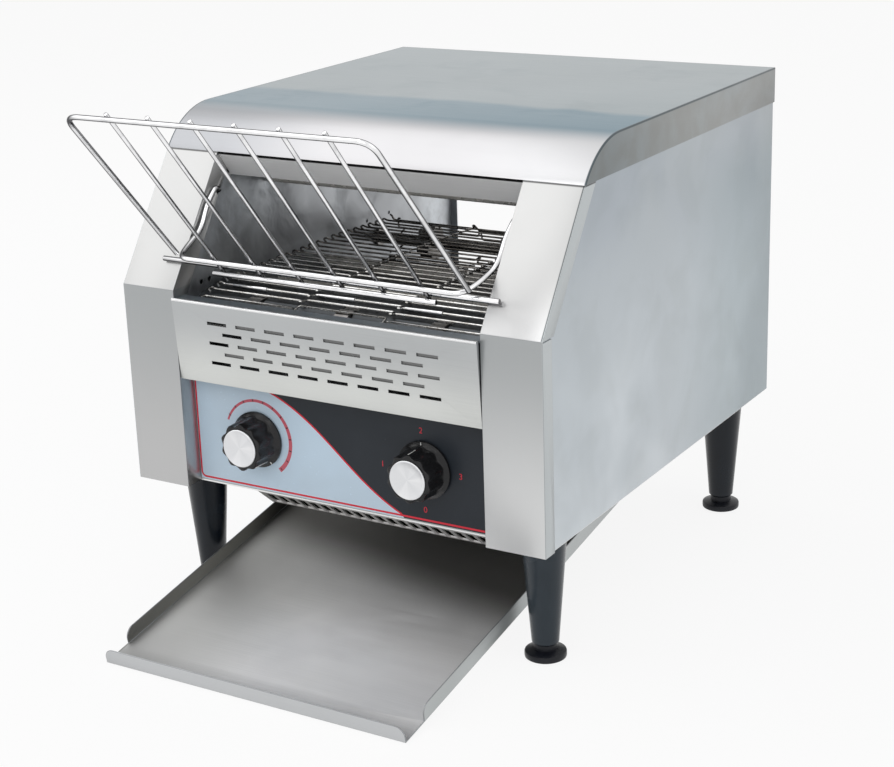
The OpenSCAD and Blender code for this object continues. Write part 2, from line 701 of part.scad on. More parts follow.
module terminal_block() color("ivory") translate([inner_x - 36, rear_in - 110, deck_z]) difference() {
    cube([26, 50, 18]);
    for (i = [0 : 3]) {
        translate([6, 8 + i * 11.5, 8]) cylinder(d = 5, h = 11);
        translate([20, 8 + i * 11.5, 8]) cylinder(d = 5, h = 11);
        translate([9, 3.5 + i * 11.5, 13]) cube([8, 9, 6]);
    }
}

// Legs and feet
module leg(x, y) translate([x, y, 0]) difference() {
    union() {
        translate([0, 0, floor_z - collar_t]) cylinder(d = collar_d, h = collar_t);
        translate([0, 0, leg_low_z]) cylinder(d1 = leg_low_d, d2 = leg_top_d, h = floor_z - leg_low_z - 1);
    }
    translate([0, 0, leg_low_z - over]) cylinder(d = stud_d + 2 * fit, h = stud_up + 3 + over);
    translate([0, 0, floor_z - bolt_down - 2]) cylinder(d = bolt_d + 2 * fit, h = bolt_down + 2 + over);
}
module foot(x, y) translate([x, y, 0]) {
    cylinder(d = foot_d - 3, h = 1.5);
    translate([0, 0, 1]) cylinder(d = foot_d, h = foot_t - 1);
    translate([0, 0, foot_t - 0.5]) cylinder(d = leg_low_d - 2, h = leg_low_z - foot_t + 0.5);
    translate([0, 0, leg_low_z - 1]) cylinder(d = stud_d, h = stud_up + 1);
}
module leg_front_left() color("darkslategray") leg(-leg_x, leg_front_y);
module leg_front_right() color("darkslategray") leg(leg_x, leg_front_y);
module leg_rear_left() color("darkslategray") leg(-leg_x, leg_rear_y);
module leg_rear_right() color("darkslategray") leg(leg_x, leg_rear_y);
module foot_front_left() color("black") foot(-leg_x, leg_front_y);
module foot_front_right() color("black") foot(leg_x, leg_front_y);
module foot_rear_left() color("black") foot(-leg_x, leg_rear_y);
module foot_rear_right() color("black") foot(leg_x, leg_rear_y);
module leg_bolts() color("silver") for (x = [-leg_x, leg_x], y = [leg_front_y, leg_rear_y])
    translate([x, y, deck_z]) {
        cylinder(d = 14.6, h = 5.3, $fn = 6);
        translate([0, 0, -base_t - bolt_down]) cylinder(d = bolt_d, h = bolt_down + base_t + 1);
    }

// Toast tray: the plate rises to the rear, its front edge lies on the table
module rounded_top(w, x0) {
    translate([x0, 0]) square([w, tray_wall - tray_round]);
    translate([x0 + tray_round, 0]) square([w - 2 * tray_round, tray_wall]);
    for (x = [x0 + tray_round, x0 + w - tray_round])
        translate([x, tray_wall - tray_round]) circle(r = tray_round);
}
module tray() color("darkgray") difference() {
    translate([0, tray_y, 0]) rotate([tray_angle, 0, 0]) {
        translate([-tray_w / 2, 0, 0]) cube([tray_w, tray_len, sheet]);
        rotate([90, 0, 0]) translate([0, 0, -sheet]) linear_extrude(sheet) intersection() {
            rounded_top(tray_w, -tray_w / 2);
            translate([-tray_w / 2, 0]) square([tray_w, tray_wall]);
        }
        both_sides() along_x(tray_w / 2 - sheet, tray_w / 2) intersection() {
            rounded_top(tray_len, wall_start);
            translate([wall_start, 0]) square([tray_len - wall_start, tray_wall]);
        }
    }
    translate([-tray_w, tray_y, tray_top_z]) cube([2 * tray_w, tray_len + 2 * tray_wall, 2 * tray_wall]);
}
hanger_y = tray_y + tray_len * cos(tray_angle) + 2;
hanger_ledge = 16;
hanger_w = 30;
hanger_z = (hanger_y - hanger_ledge - tray_y) * tan(tray_angle) - seat;
module tray_hangers() color("silver") both_sides() translate([tray_w / 2 - 10 - hanger_w, 0, 0]) {
    translate([0, hanger_y, hanger_z - sheet]) cube([hanger_w, sheet, floor_z - hanger_z + sheet]);
    translate([0, hanger_y - hanger_ledge, hanger_z - sheet]) cube([hanger_w, hanger_ledge + sheet, sheet]);
    translate([0, hanger_y, floor_z - sheet]) cube([hanger_w, rear_in - hanger_y, sheet]);
}

// Loading rack
function in_rack(x, along, off) = [x,
    main_bar_y + along * rack_dir[0] + off * rack_normal[0],
    main_bar_z + along * rack_dir[1] + off * rack_normal[1]];
rack_half = rack_w / 2;
arm_x = opening_half - rack_wire / 2 - 0.5;
module on_rack() translate([0, main_bar_y, main_bar_z]) rotate([180 - rack_angle, 0, 0]) children();
module rack_frame() color("silver") {
    on_rack() {
        x_rod(rack_wire, -rack_half + corner_bend - 0.5, rack_half - corner_bend + 0.5, rack_len, 0);
        both_sides() {
            y_rod(rack_wire * 0.98, 0, rack_len - corner_bend + 0.5, rack_half, 0);
            translate([rack_half - corner_bend, rack_len - corner_bend, 0]) rotate_extrude(angle = 90)
                translate([corner_bend, 0]) circle(d = rack_wire * 1.02);
        }
    }
    arm = [[rack_half, main_bar_y, main_bar_z], [rack_half + 3, front_y + 36, 302],
        [arm_x, hook_y, hook_z], [wall_x + sheet + 3, hook_y, hook_z]];
    both_sides() wire_path(concat([[0, main_bar_y, main_bar_z]], arm), rack_wire);
}
module rack_rods() color("silver") for (i = [0 : rack_rods_n - 1]) {
    x = (i - (rack_rods_n - 1) / 2) * rack_pitch;
    wire(in_rack(x, low_bar_along - 3, rod_off), in_rack(x, rack_len + 3.4, rod_off), rack_rod);
}
module rack_bars() color("silver") {
    wire(in_rack(-low_bar_half, low_bar_along, 0), in_rack(low_bar_half, low_bar_along, 0), rack_wire);
    wire(in_rack(rest_bar_shift - rest_bar_half, low_bar_along, rest_off),
        in_rack(rest_bar_shift + rest_bar_half, low_bar_along, rest_off), rest_bar_d);
}

base_plate();
side_panel_left();
side_panel_right();
front_post_left();
front_post_right();
inner_wall_left();
inner_wall_right();
rear_panel();
top_cover();
tunnel_ceiling();
front_baffle();
feed_ramp();
belt_deck();
control_panel();
panel_overlay();
vent_strip();
heat_shield();
lower_reflector();
upper_heaters();
lower_heaters();
heater_caps();
belt();
splice_sleeves();
drive_shaft();
drive_wheels();
idler_shaft();
idler_wheels();
shaft_bushings();
shaft_coupling();
gear_motor();
motor_shaft();
fan_frame();
fan_rotor();
speed_knob();
speed_knob_cap();
speed_spindle();
speed_control();
switch_knob();
switch_knob_cap();
switch_spindle();
rotary_switch();
control_nuts();
terminal_block();
cable_gland();
gland_nut();
leg_front_left();
leg_front_right();
leg_rear_left();
leg_rear_right();
foot_front_left();
foot_front_right();
foot_rear_left();
foot_rear_right();
leg_bolts();
case_screws();
tray();
tray_hangers();
rack_frame();
rack_rods();
rack_bars();
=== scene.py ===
"""Conveyor toaster: finishes, wires, knobs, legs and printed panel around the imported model."""

import json
import math

import bpy
from mathutils import Matrix, Vector

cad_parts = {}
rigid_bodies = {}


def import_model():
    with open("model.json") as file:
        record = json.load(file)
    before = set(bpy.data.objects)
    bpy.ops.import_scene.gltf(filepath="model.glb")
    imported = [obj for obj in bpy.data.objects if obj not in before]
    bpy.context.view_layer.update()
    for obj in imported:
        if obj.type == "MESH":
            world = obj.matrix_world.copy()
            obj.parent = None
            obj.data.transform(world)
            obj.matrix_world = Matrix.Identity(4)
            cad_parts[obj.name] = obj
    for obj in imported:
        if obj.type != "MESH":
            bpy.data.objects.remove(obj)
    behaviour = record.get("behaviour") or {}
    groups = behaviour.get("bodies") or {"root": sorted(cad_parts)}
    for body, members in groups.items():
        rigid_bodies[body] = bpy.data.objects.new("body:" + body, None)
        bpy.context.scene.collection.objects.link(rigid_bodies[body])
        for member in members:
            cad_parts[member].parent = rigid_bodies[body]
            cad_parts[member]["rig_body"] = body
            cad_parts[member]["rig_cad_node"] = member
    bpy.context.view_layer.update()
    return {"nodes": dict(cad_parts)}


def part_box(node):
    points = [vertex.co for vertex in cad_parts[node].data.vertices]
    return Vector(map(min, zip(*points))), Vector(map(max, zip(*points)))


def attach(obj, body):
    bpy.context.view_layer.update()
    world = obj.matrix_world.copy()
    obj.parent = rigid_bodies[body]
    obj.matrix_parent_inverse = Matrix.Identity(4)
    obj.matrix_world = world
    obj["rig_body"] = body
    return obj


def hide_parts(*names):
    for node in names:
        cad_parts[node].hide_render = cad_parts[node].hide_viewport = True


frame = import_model()
NODES = frame["nodes"]

# -------- sizes, in metres

MM = 0.001

cover_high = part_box("top_cover")[1]
strip_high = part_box("vent_strip")[1]
panel_low, panel_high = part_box("panel_overlay")
tray_low, tray_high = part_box("tray")
HALF_W = cover_high.x
FRONT_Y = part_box("front_post_right")[0].y
REAR_Y = cover_high.y
TOP_Z = cover_high.z

# Casing: upright front up to the break, then the slope and the cover's curve
BREAK_Z = 263 * MM
COVER_R = 68 * MM
SLOPE = math.radians(55)
CORNER_Z = TOP_Z - COVER_R * (1 - math.cos(SLOPE))
CORNER_Y = FRONT_Y + (CORNER_Z - BREAK_Z) / math.tan(SLOPE)
CURVE_Y = CORNER_Y + COVER_R * math.sin(SLOPE)

# Loading rack: its frame lies in one plane, which rises towards the front
RACK_ANGLE = math.radians(49.5)
RACK_LENGTH = 165.7 * MM
RACK_HALF_W = 126 * MM
RACK_WIRE = 4 * MM
RACK_ROD = 3.2 * MM
RACK_PITCH = 35.9 * MM
RACK_RODS = 6
REST_BAR = 4.2 * MM
BAR_ALONG = -15 * MM
MAIN_BAR = Vector((0, FRONT_Y - 3.9 * MM, 290.9 * MM))
HOOK = Vector((0, FRONT_Y + 64 * MM, 327 * MM))

# Belt: its wires lie a pitch apart, between shafts a number of pitches apart
BELT_PITCH = 11.3 * MM
BELT_WIRE = 1.8 * MM
BELT_HALF_W = 123 * MM
BELT_SPAN = 22.5
BELT_TEETH = 9
BELT_PHASE = 0.37
BELT_RISE = 3.5 * MM
FRONT_RISE = 2.5
REAR_RISE = 7
LINK_GAP = 0.3 * MM
JOG = 3.4 * MM
JOG_X = 41 * MM
shaft_low, shaft_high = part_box("idler_shaft")
SHAFT_Z = (shaft_low.z + shaft_high.z) / 2
SHAFT_FRONT_Y = (shaft_low.y + shaft_high.y) / 2
SHAFT_REAR_Y = SHAFT_FRONT_Y + BELT_SPAN * BELT_PITCH
BELT_RADIUS = BELT_TEETH * BELT_PITCH / (2 * math.pi)

# Printed panel: height, rise and spread of the line that divides its two fields, and its prints
DIVISION_Z = 145.3 * MM
DIVISION_RISE = 54 * MM
DIVISION_SPREAD = 62 * MM
DIVISION_STEPS = 90
PRINT = 0.06 * MM
BORDER_R = 4 * MM
SCALE_Z = 147.5 * MM
SCALE_R = 30.2 * MM
SCALE_FROM, SCALE_TO = 159, -52
SCALE_TICKS = 12
TICKS_FROM, TICKS_TO = 150, -48
TICK_ENDS = (29.2 * MM, 31.4 * MM)

# Baffle liner: how far behind the front it lies, and how it leans
LINER_BACK = 17.6 * MM
LINER_LEAN = math.radians(4.4)

# Knobs: where they sit, their grip over the skirt, and their flutes
KNOB_X = 75.5 * MM
KNOB_Z = 146.8 * MM
KNOB_LOBES = 10
GRIP_FOOT = 4.5 * MM
GRIP_WALL = 16 * MM
GRIP_SWELL = 1.03
FLUTE_DEPTH = 0.105
FLUTE_RISE = 3 * MM

# -------- modelling helpers


def start():
    """Deselects everything, so that the next operator works on the new piece alone."""
    bpy.ops.object.select_all(action="DESELECT")


def edit_all():
    """Opens the active piece for editing, with all of it selected."""
    bpy.ops.object.mode_set(mode="EDIT")
    bpy.ops.mesh.select_all(action="SELECT")


def finished(name, body, material, replaces=(), smooth=35):
    """Names the active piece, puts its place into its mesh, smooths it and sets it on its body."""
    piece = bpy.context.object
    piece.name = piece.data.name = name
    bpy.ops.object.transform_apply(location=True, rotation=True, scale=True)
    bpy.ops.object.shade_smooth_by_angle(angle=math.radians(smooth))
    if material:
        piece.data.materials.clear()
        piece.data.materials.append(material)
    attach(piece, body)
    if replaces:
        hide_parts(*replaces)


def outward():
    """Merges doubles and turns every face of the active piece outwards."""
    edit_all()
    bpy.ops.mesh.remove_doubles(threshold=0.001 * MM)
    bpy.ops.mesh.normals_make_consistent(inside=False)
    bpy.ops.object.mode_set(mode="OBJECT")


def add_modifier(kind, **values):
    """Adds a modifier to the active piece and applies it at once."""
    modifier = bpy.context.object.modifiers.new(kind.title(), kind)
    for key, value in values.items():
        setattr(modifier, key, value)
    bpy.ops.object.modifier_apply(modifier=modifier.name)


def rounded(width, segments, angle, **more):
    """Rounds the active piece's edges that turn by more than the angle."""
    add_modifier(
        "BEVEL", width=width, segments=segments,
        limit_method="ANGLE", angle_limit=math.radians(angle), **more,
    )


def joined(pieces):
    """Joins the pieces into the first one, which becomes the active piece."""
    start()
    for piece in pieces:
        piece.select_set(True)
    bpy.context.view_layer.objects.active = pieces[0]
    if len(pieces) > 1:
        bpy.ops.object.join()
    return bpy.context.object


def new_curve(dimensions):
    """An empty curve as the active piece."""
    start()
    bpy.ops.curve.primitive_nurbs_path_add(location=(0, 0, 0))
    curve = bpy.context.object.data
    curve.splines.clear()
    curve.dimensions = dimensions
    return curve


def add_spline(curve, points, cyclic=False):
    """A line of straight stretches through the points."""
    spline = curve.splines.new("POLY")
    spline.points.add(len(points) - 1)
    spline.use_cyclic_u = cyclic
    for place, point in zip(spline.points, points):
        place.co = (*point, 1)


def curve_to_mesh():
    bpy.ops.object.convert(target="MESH")
    outward()
    return bpy.context.object


def rounded_path(points, bend, steps):
    """The points of a bent wire, each inner corner turned into an arc."""
    path = [points[0]]
    for before, corner, after in zip(points, points[1:], points[2:]):
        back = before - corner
        ahead = after - corner
        reach = min(bend, back.length * 0.48, ahead.length * 0.48)
        first = corner + back.normalized() * reach
        last = corner + ahead.normalized() * reach
        for i in range(steps + 1):
            t = i / steps
            path.append(first * (1 - t) ** 2 + corner * 2 * t * (1 - t) + last * t * t)
    path.append(points[-1])
    return path


def bent_wire(points, diameter, bend=0, sides=4, steps=6):
    """A wire of round section bent through the points, with its ends closed."""
    curve = new_curve("3D")
    add_spline(curve, rounded_path(points, bend, steps))
    curve.bevel_depth = diameter / 2
    curve.bevel_resolution = sides
    curve.use_fill_caps = True
    return curve_to_mesh()


def plate(outlines, thickness, turn, place):
    """A flat sheet cut to closed outlines in its own plane, then turned and put in place."""
    curve = new_curve("2D")
    curve.fill_mode = "BOTH"
    curve.extrude = thickness / 2
    for outline in outlines:
        add_spline(curve, [(u, v, 0) for u, v in outline], cyclic=True)
    piece = curve_to_mesh()
    piece.data.transform(Matrix.Translation(place) @ turn)


def turned(outline, sides):
    """A piece turned on a lathe: rings of (radius, height) joined from one end to the other."""
    start()
    radius, height = outline[0]
    bpy.ops.mesh.primitive_circle_add(
        vertices=sides, radius=radius, location=(0, 0, height), fill_type="NGON"
    )
    edit_all()
    for ring, level in outline[1:]:
        bpy.ops.mesh.extrude_region_move(
            TRANSFORM_OT_translate={"value": (0, 0, level - height)}
        )
        bpy.ops.transform.resize(
            value=(ring / radius, ring / radius, 1), center_override=(0, 0, 0)
        )
        radius, height = ring, level
    outward()
    return bpy.context.object


def placed(piece, place):
    """Turns and moves a new piece from where it was modelled."""
    piece.matrix_world = place @ Matrix.Translation(piece.location)


def merged_copy(node):
    """A copy of a CAD node with its loose triangles merged, as the active piece."""
    start()
    source = NODES[node]
    copy = source.copy()
    copy.data = source.data.copy()
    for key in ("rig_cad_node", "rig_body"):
        if key in copy:
            del copy[key]
    bpy.context.scene.collection.objects.link(copy)
    copy.parent = None
    copy.matrix_world = Matrix.Identity(4)
    copy.select_set(True)
    bpy.context.view_layer.objects.active = copy
    edit_all()
    bpy.ops.mesh.remove_doubles(threshold=0.01 * MM)
    bpy.ops.mesh.dissolve_limited(angle_limit=math.radians(1))
    bpy.ops.object.mode_set(mode="OBJECT")
    return copy


def folded(node, sheet, edge, width, extra=()):
    """A sheet piece from a CAD node, its folds and cut edges rounded and given their own tone."""
    piece = merged_copy(node)
    piece.data.materials.clear()
    piece.data.materials.append(sheet)
    piece.data.materials.append(edge)
    rounded(width, 2, 35, material=1)
    if extra:
        joined([piece, *extra])
    finished(f"{node}_sheet", NODES[node]["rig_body"], None, [node])


FACING_FRONT = Matrix.Rotation(math.pi / 2, 4, "X")

# -------- finishes

# Directions of a ramp, and how a pattern is squeezed so that brushed lines run along x or z
LEFT, RIGHT = (-1, 0, 0), (1, 0, 0)
FRONT, REAR = (0, -1, 0), (0, 1, 0)
DOWN, UP = (0, 0, -1), (0, 0, 1)
ALONG_X = (14, 1500, 1500)
ALONG_Z = (1500, 1500, 14)


class Nodes:
    """A node tree under construction, with short ways to add and join its nodes."""

    def __init__(self, tree):
        self.tree = tree

    def fill(self, socket, value):
        """Joins another node's output to the socket, or gives the socket a constant."""
        if isinstance(value, bpy.types.NodeSocket):
            self.tree.links.new(value, socket)
        elif socket.type == "RGBA":
            socket.default_value = (*value, 1)
        else:
            socket.default_value = value

    def node(self, kind, inputs=None, **settings):
        """A new node with its settings, and its inputs by name or number."""
        node = self.tree.nodes.new(f"ShaderNode{kind}")
        for key, value in settings.items():
            setattr(node, key, value)
        for key, value in (inputs or {}).items():
            self.fill(node.inputs[key], value)
        return node

    def place(self):
        """The place on the piece, in the part's own coordinates."""
        return self.node("TexCoord").outputs["Object"]

    def noise(self, inputs, **settings):
        return self.node("TexNoise", inputs, **settings).outputs["Fac"]

    def calculated(self, operation, first, second, clamp=False):
        node = self.node("Math", {0: first, 1: second}, operation=operation, use_clamp=clamp)
        return node.outputs[0]

    def vector(self, operation, first, second=(0, 0, 0)):
        """The outputs of a vector calculation: Vector, or Value for a length or a dot product."""
        return self.node("VectorMath", {0: first, 1: second}, operation=operation).outputs

    def stepped(self, value, start, end):
        """Rises smoothly from 0 to 1 while the value goes from start to end."""
        inputs = {"Value": value, "From Min": start, "From Max": end}
        return self.node("MapRange", inputs, interpolation_type="SMOOTHSTEP").outputs["Result"]


def shader_group(name, inputs, outputs):
    """An empty shader node group, with its inputs' values and the names of its outputs."""
    group = bpy.data.node_groups.new(name, "ShaderNodeTree")
    for label, value in inputs.items():
        kind = "NodeSocketVector" if isinstance(value, tuple) else "NodeSocketFloat"
        socket = group.interface.new_socket(label, in_out="INPUT", socket_type=kind)
        socket.default_value = value
    for label in outputs:
        group.interface.new_socket(label, in_out="OUTPUT", socket_type="NodeSocketFloat")
    given = group.nodes.new("NodeGroupInput").outputs
    return Nodes(group), given, group.nodes.new("NodeGroupOutput").inputs


def streak_group():
    """Fine brushed lines: Stretch squeezes the pattern, and they run along its smallest value."""
    group, given, result = shader_group(
        "brushed_lines", {"Stretch": (100, 100, 100), "Contrast": 1.0}, ("Lines", "Height")
    )
    squeezed = group.node("Mapping", {"Vector": group.place(), "Scale": given["Stretch"]})
    noise = group.noise(
        {"Vector": squeezed.outputs["Vector"], "Scale": 1.0, "Detail": 5.0, "Roughness": 0.65}
    )
    centred = group.calculated("SUBTRACT", noise, 0.5)
    scaled = group.calculated("MULTIPLY", centred, given["Contrast"])
    group.fill(result["Lines"], group.calculated("ADD", scaled, 0.5, clamp=True))
    group.fill(result["Height"], noise)
    return group.tree


def cloud_group():
    """Broad soft patches, for uneven tone, smears and heat marks."""
    group, given, result = shader_group(
        "soft_patches", {"Scale": 8.0, "Low": 0.35, "High": 0.65}, ("Patches",)
    )
    noise = group.noise({
        "Vector": group.place(), "Scale": given["Scale"],
        "Detail": 3.0, "Roughness": 0.55, "Distortion": 0.4,
    })
    group.fill(result["Patches"], group.stepped(noise, given["Low"], given["High"]))
    return group.tree


def ramp_group():
    """Rises smoothly from 0 to 1 between two places along a direction."""
    group, given, result = shader_group(
        "ramp_along", {"Direction": UP, "Start": 0.0, "End": 1.0}, ("Ramp",)
    )
    along = group.vector("DOT_PRODUCT", group.place(), given["Direction"])["Value"]
    group.fill(result["Ramp"], group.stepped(along, given["Start"], given["End"]))
    return group.tree


STREAKS = streak_group()
CLOUDS = cloud_group()
RAMP = ramp_group()


class Finish(Nodes):
    """A material under construction."""

    def __init__(self, name, **constants):
        self.material = bpy.data.materials.new(name)
        self.material.use_nodes = True
        super().__init__(self.material.node_tree)
        self.shader = self.tree.nodes["Principled BSDF"]
        for key, value in constants.items():
            self.fill(self.shader.inputs[key.replace("_", " ")], value)

    def streaks(self, stretch, contrast=1.0):
        """Brushed lines, as a mask and as a height."""
        inputs = {"Stretch": stretch, "Contrast": contrast}
        lines = self.node("Group", inputs, node_tree=STREAKS)
        return lines.outputs["Lines"], lines.outputs["Height"]

    def patches(self, scale, low=0.35, high=0.65):
        inputs = {"Scale": scale, "Low": low, "High": high}
        return self.node("Group", inputs, node_tree=CLOUDS).outputs["Patches"]

    def ramp(self, direction, start, end):
        inputs = {"Direction": direction, "Start": start, "End": end}
        return self.node("Group", inputs, node_tree=RAMP).outputs["Ramp"]

    def at_end(self, direction, end, outer, inner):
        """1 where a piece lies within inner of its end along the direction, 0 beyond outer."""
        return self.ramp(direction, end - outer * MM, end - inner * MM)

    def combined(self, operation, first, second):
        """Two masks, or a mask and a number, put together and kept between 0 and 1."""
        return self.calculated(operation, first, second, clamp=True)

    def mixed(self, mask, first, second, blend="MIX"):
        """A colour between first and second, by the mask."""
        inputs = {0: mask, 6: first, 7: second}
        return self.node("Mix", inputs, data_type="RGBA", blend_type=blend).outputs[2]

    def tinted(self, mask, base, tint):
        """The base colour, multiplied by the tint where the mask is 1."""
        return self.mixed(mask, base, tint, "MULTIPLY")

    def ranged(self, source, low, high):
        """The source, 0 to 1, spread over low to high."""
        inputs = {"Value": source, "To Min": low, "To Max": high}
        return self.node("MapRange", inputs).outputs["Result"]

    def rough(self, source, low, high):
        self.fill(self.shader.inputs["Roughness"], self.ranged(source, low, high))

    def bump(self, height, strength, distance):
        bump = self.node("Bump", {"Strength": strength, "Distance": distance, "Height": height})
        self.fill(self.shader.inputs["Normal"], bump.outputs["Normal"])

    def coloured(self, source):
        """Gives the shader its colour and hands over the material."""
        self.fill(self.shader.inputs["Base Color"], source)
        return self.material


def sheet_steel(name, light, dark, stretch, rough=(0.26, 0.4), patch_scale=7.0, contrast=1.3):
    """Brushed stainless sheet: lines, uneven tone and faint smears, with its colour still open."""
    steel = Finish(name, Metallic=1.0)
    lines, height = steel.streaks(stretch, contrast)
    tone = steel.patches(patch_scale, 0.3, 0.72)
    smear = steel.patches(patch_scale * 3.1, 0.5, 0.8)
    toned = steel.mixed(tone, steel.mixed(lines, dark, light), light)
    uneven = steel.combined("ADD", steel.combined("MULTIPLY", smear, 0.35), lines)
    steel.rough(uneven, *rough)
    steel.bump(height, 0.06, 0.4 * MM)
    return steel, toned


def brushed_steel(*values):
    steel, toned = sheet_steel(*values)
    return steel.coloured(toned)


def edge_steel(name, light, dark, rough=(0.3, 0.4)):
    """The tone of folds and cut edges."""
    return brushed_steel(name, light, dark, ALONG_X, rough, 30.0)


def outer_edge(finish):
    """Where a flange lies just inside the cover's outline, along the top and round the curve: the
    place of a painted dark reflection line.
    """
    parts = finish.node("SeparateXYZ", {0: finish.place()}).outputs
    ahead = finish.calculated("SUBTRACT", parts["Y"], CURVE_Y)
    ahead = finish.calculated("MINIMUM", ahead, 0.0)
    up = finish.calculated("SUBTRACT", parts["Z"], TOP_Z - COVER_R)
    from_axis = finish.node("CombineXYZ", {"X": ahead, "Y": up}).outputs[0]
    reach = finish.vector("LENGTH", from_axis)["Value"]
    return finish.stepped(reach, COVER_R - 1.7 * MM, COVER_R - 1.1 * MM)


def cover_finish():
    """Cover sheet: painted reflection band and highlight at the curve, painted shade on flanges and
    left end.
    """
    steel, toned = sheet_steel("cover_steel", (0.316, 0.358, 0.374), (0.276, 0.318, 0.335), ALONG_X)
    # Painted reflection: a blue band across the top before the curve, with a wavy edge.
    wavy = steel.combined("MULTIPLY", steel.patches(9.0, 0.2, 0.8), 0.5)
    reach = steel.combined("ADD", wavy, steel.ramp(FRONT, -50 * MM, -5 * MM))
    painted_reflection_band = steel.combined("MULTIPLY", steel.combined("SUBTRACT", reach, 0.6), 2.5)
    with_painted_band = steel.tinted(painted_reflection_band, toned, (0.56, 0.72, 0.82))
    # Painted highlight: the curve gets a brighter tone, brighter towards the right end.
    right_end = steel.ramp(RIGHT, 50 * MM, 170 * MM)
    painted_curve_highlight = steel.mixed(right_end, (0.525, 0.52, 0.53), (0.6, 0.6, 0.61))
    with_painted_band = steel.mixed(steel.ramp(FRONT, 2 * MM - CURVE_Y, 28 * MM - CURVE_Y), with_painted_band, painted_curve_highlight)

    outside = steel.at_end(REAR, REAR_Y, 1.3, 0.6)
    for side in (LEFT, RIGHT):
        outside = steel.combined("MAXIMUM", outside, steel.at_end(side, HALF_W, 1.3, 0.6))
    # Painted shade: the flanges get darker tones, darker towards the front, and a painted dark
    # reflection line just inside the outline.
    blotches = steel.patches(24.0, 0.36, 0.66)
    flange = steel.mixed(blotches, (0.322, 0.342, 0.346), (0.292, 0.298, 0.29))
    flange = steel.tinted(steel.ramp(FRONT, -100 * MM, 90 * MM), flange, (0.7, 0.72, 0.73))
    flange = steel.mixed(outer_edge(steel), flange, (0.09, 0.11, 0.12))
    whole = steel.mixed(outside, with_painted_band, flange)

    # Painted shade: the left end, below the top, is made darker.
    left_end = steel.ramp(LEFT, 20 * MM, 150 * MM)
    below_top = steel.ramp(DOWN, 0.5 * MM - TOP_Z, 4 * MM - TOP_Z)
    painted_left_shade = steel.combined("MULTIPLY", left_end, below_top)
    return steel.coloured(steel.tinted(painted_left_shade, whole, (0.72, 0.74, 0.76)))


def side_finish():
    """Side sheet: cloudy, with a brighter, bluer painted highlight low down and painted shade
    towards the rear.
    """
    steel, toned = sheet_steel(
        "side_steel", (0.47, 0.505, 0.53), (0.405, 0.44, 0.465), ALONG_Z, (0.32, 0.46), 5.0, 0.9
    )
    clouds = steel.patches(6.5, 0.36, 0.64)
    cloudy = steel.tinted(clouds, toned, (0.9, 0.91, 0.94))
    # Painted highlight: low down the sheet turns brighter and bluer.
    bright = steel.mixed(clouds, (0.54, 0.58, 0.61), (0.63, 0.67, 0.7))
    toned = steel.mixed(steel.ramp(DOWN, -370 * MM, -160 * MM), cloudy, bright)
    toned = steel.tinted(steel.patches(16.0, 0.42, 0.62), toned, (0.955, 0.955, 0.95))
    # Painted shade: darker towards the rear, below the flange.
    below_flange = steel.ramp(DOWN, -360 * MM, -300 * MM)
    rear = steel.combined("MULTIPLY", steel.ramp(REAR, 40 * MM, 220 * MM), below_flange)
    return steel.coloured(steel.tinted(rear, toned, (0.79, 0.84, 0.85)))


def post_finish():
    """Post sheet: painted shade and highlights on slope and uprights, painted dark lines at the
    right fold and seam.
    """
    steel, toned = sheet_steel("post_steel", (0.5, 0.5, 0.496), (0.455, 0.457, 0.456), ALONG_Z)
    # Painted highlight: the right post's slope is brightened just above the break.
    right_post = steel.ramp(RIGHT, 100 * MM, 120 * MM)
    painted_slope_highlight = steel.ramp(DOWN, -BREAK_Z - 38 * MM, -BREAK_Z - 4 * MM)
    painted_slope_highlight = steel.combined("MULTIPLY", painted_slope_highlight, right_post)
    sloped = steel.tinted(painted_slope_highlight, toned, (1.16, 1.16, 1.17))
    # Painted reflection: a dark line along the slope's right fold.
    sloped = steel.tinted(steel.at_end(RIGHT, HALF_W, 1.7, 1.2), sloped, (0.3, 0.32, 0.33))

    # Painted light: the uprights are lighter towards the foot, the right post most, with painted
    # shade near the break.
    across = steel.ramp(RIGHT, -100 * MM, 120 * MM)
    lit_foot_tone = steel.mixed(across, (0.53, 0.53, 0.53), (0.68, 0.685, 0.685))
    shaded_break_tone = steel.mixed(across, (0.41, 0.425, 0.43), (0.4, 0.415, 0.42))
    upright = steel.mixed(steel.ramp(UP, 120 * MM, BREAK_Z), lit_foot_tone, shaded_break_tone)
    below_break = steel.ramp(DOWN, -BREAK_Z - 1 * MM, 0.6 * MM - BREAK_Z)
    whole = steel.mixed(below_break, sloped, upright)

    # Painted light: the side lips get a lighter, bluer tone of their own.
    lips = [steel.at_end(side, HALF_W, 0.6, 0.3) for side in (LEFT, RIGHT)]
    whole = steel.mixed(steel.combined("MAXIMUM", *lips), whole, (0.5, 0.53, 0.54))
    # Painted shadow: a dark line along the seam under the cover's edge.
    painted_seam_shadow = steel.at_end(UP, CORNER_Z, 1.6, 0.8)
    return steel.coloured(steel.tinted(painted_seam_shadow, whole, (0.25, 0.25, 0.25)))


def baffle_finish():
    """Baffle sheet: painted shade along its top, a painted highlight along its foot."""
    steel, toned = sheet_steel("baffle_steel", (0.6, 0.61, 0.61), (0.51, 0.52, 0.52), ALONG_X)
    # Painted light: lighter towards the foot, with painted shade towards the top.
    foot = steel.ramp(DOWN, -250 * MM, -198 * MM)
    shade = steel.mixed(foot, (0.82, 0.83, 0.84), (1.0, 1.0, 0.99))
    return steel.coloured(steel.tinted(1.0, steel.tinted(foot, toned, (1.14, 1.14, 1.12)), shade))


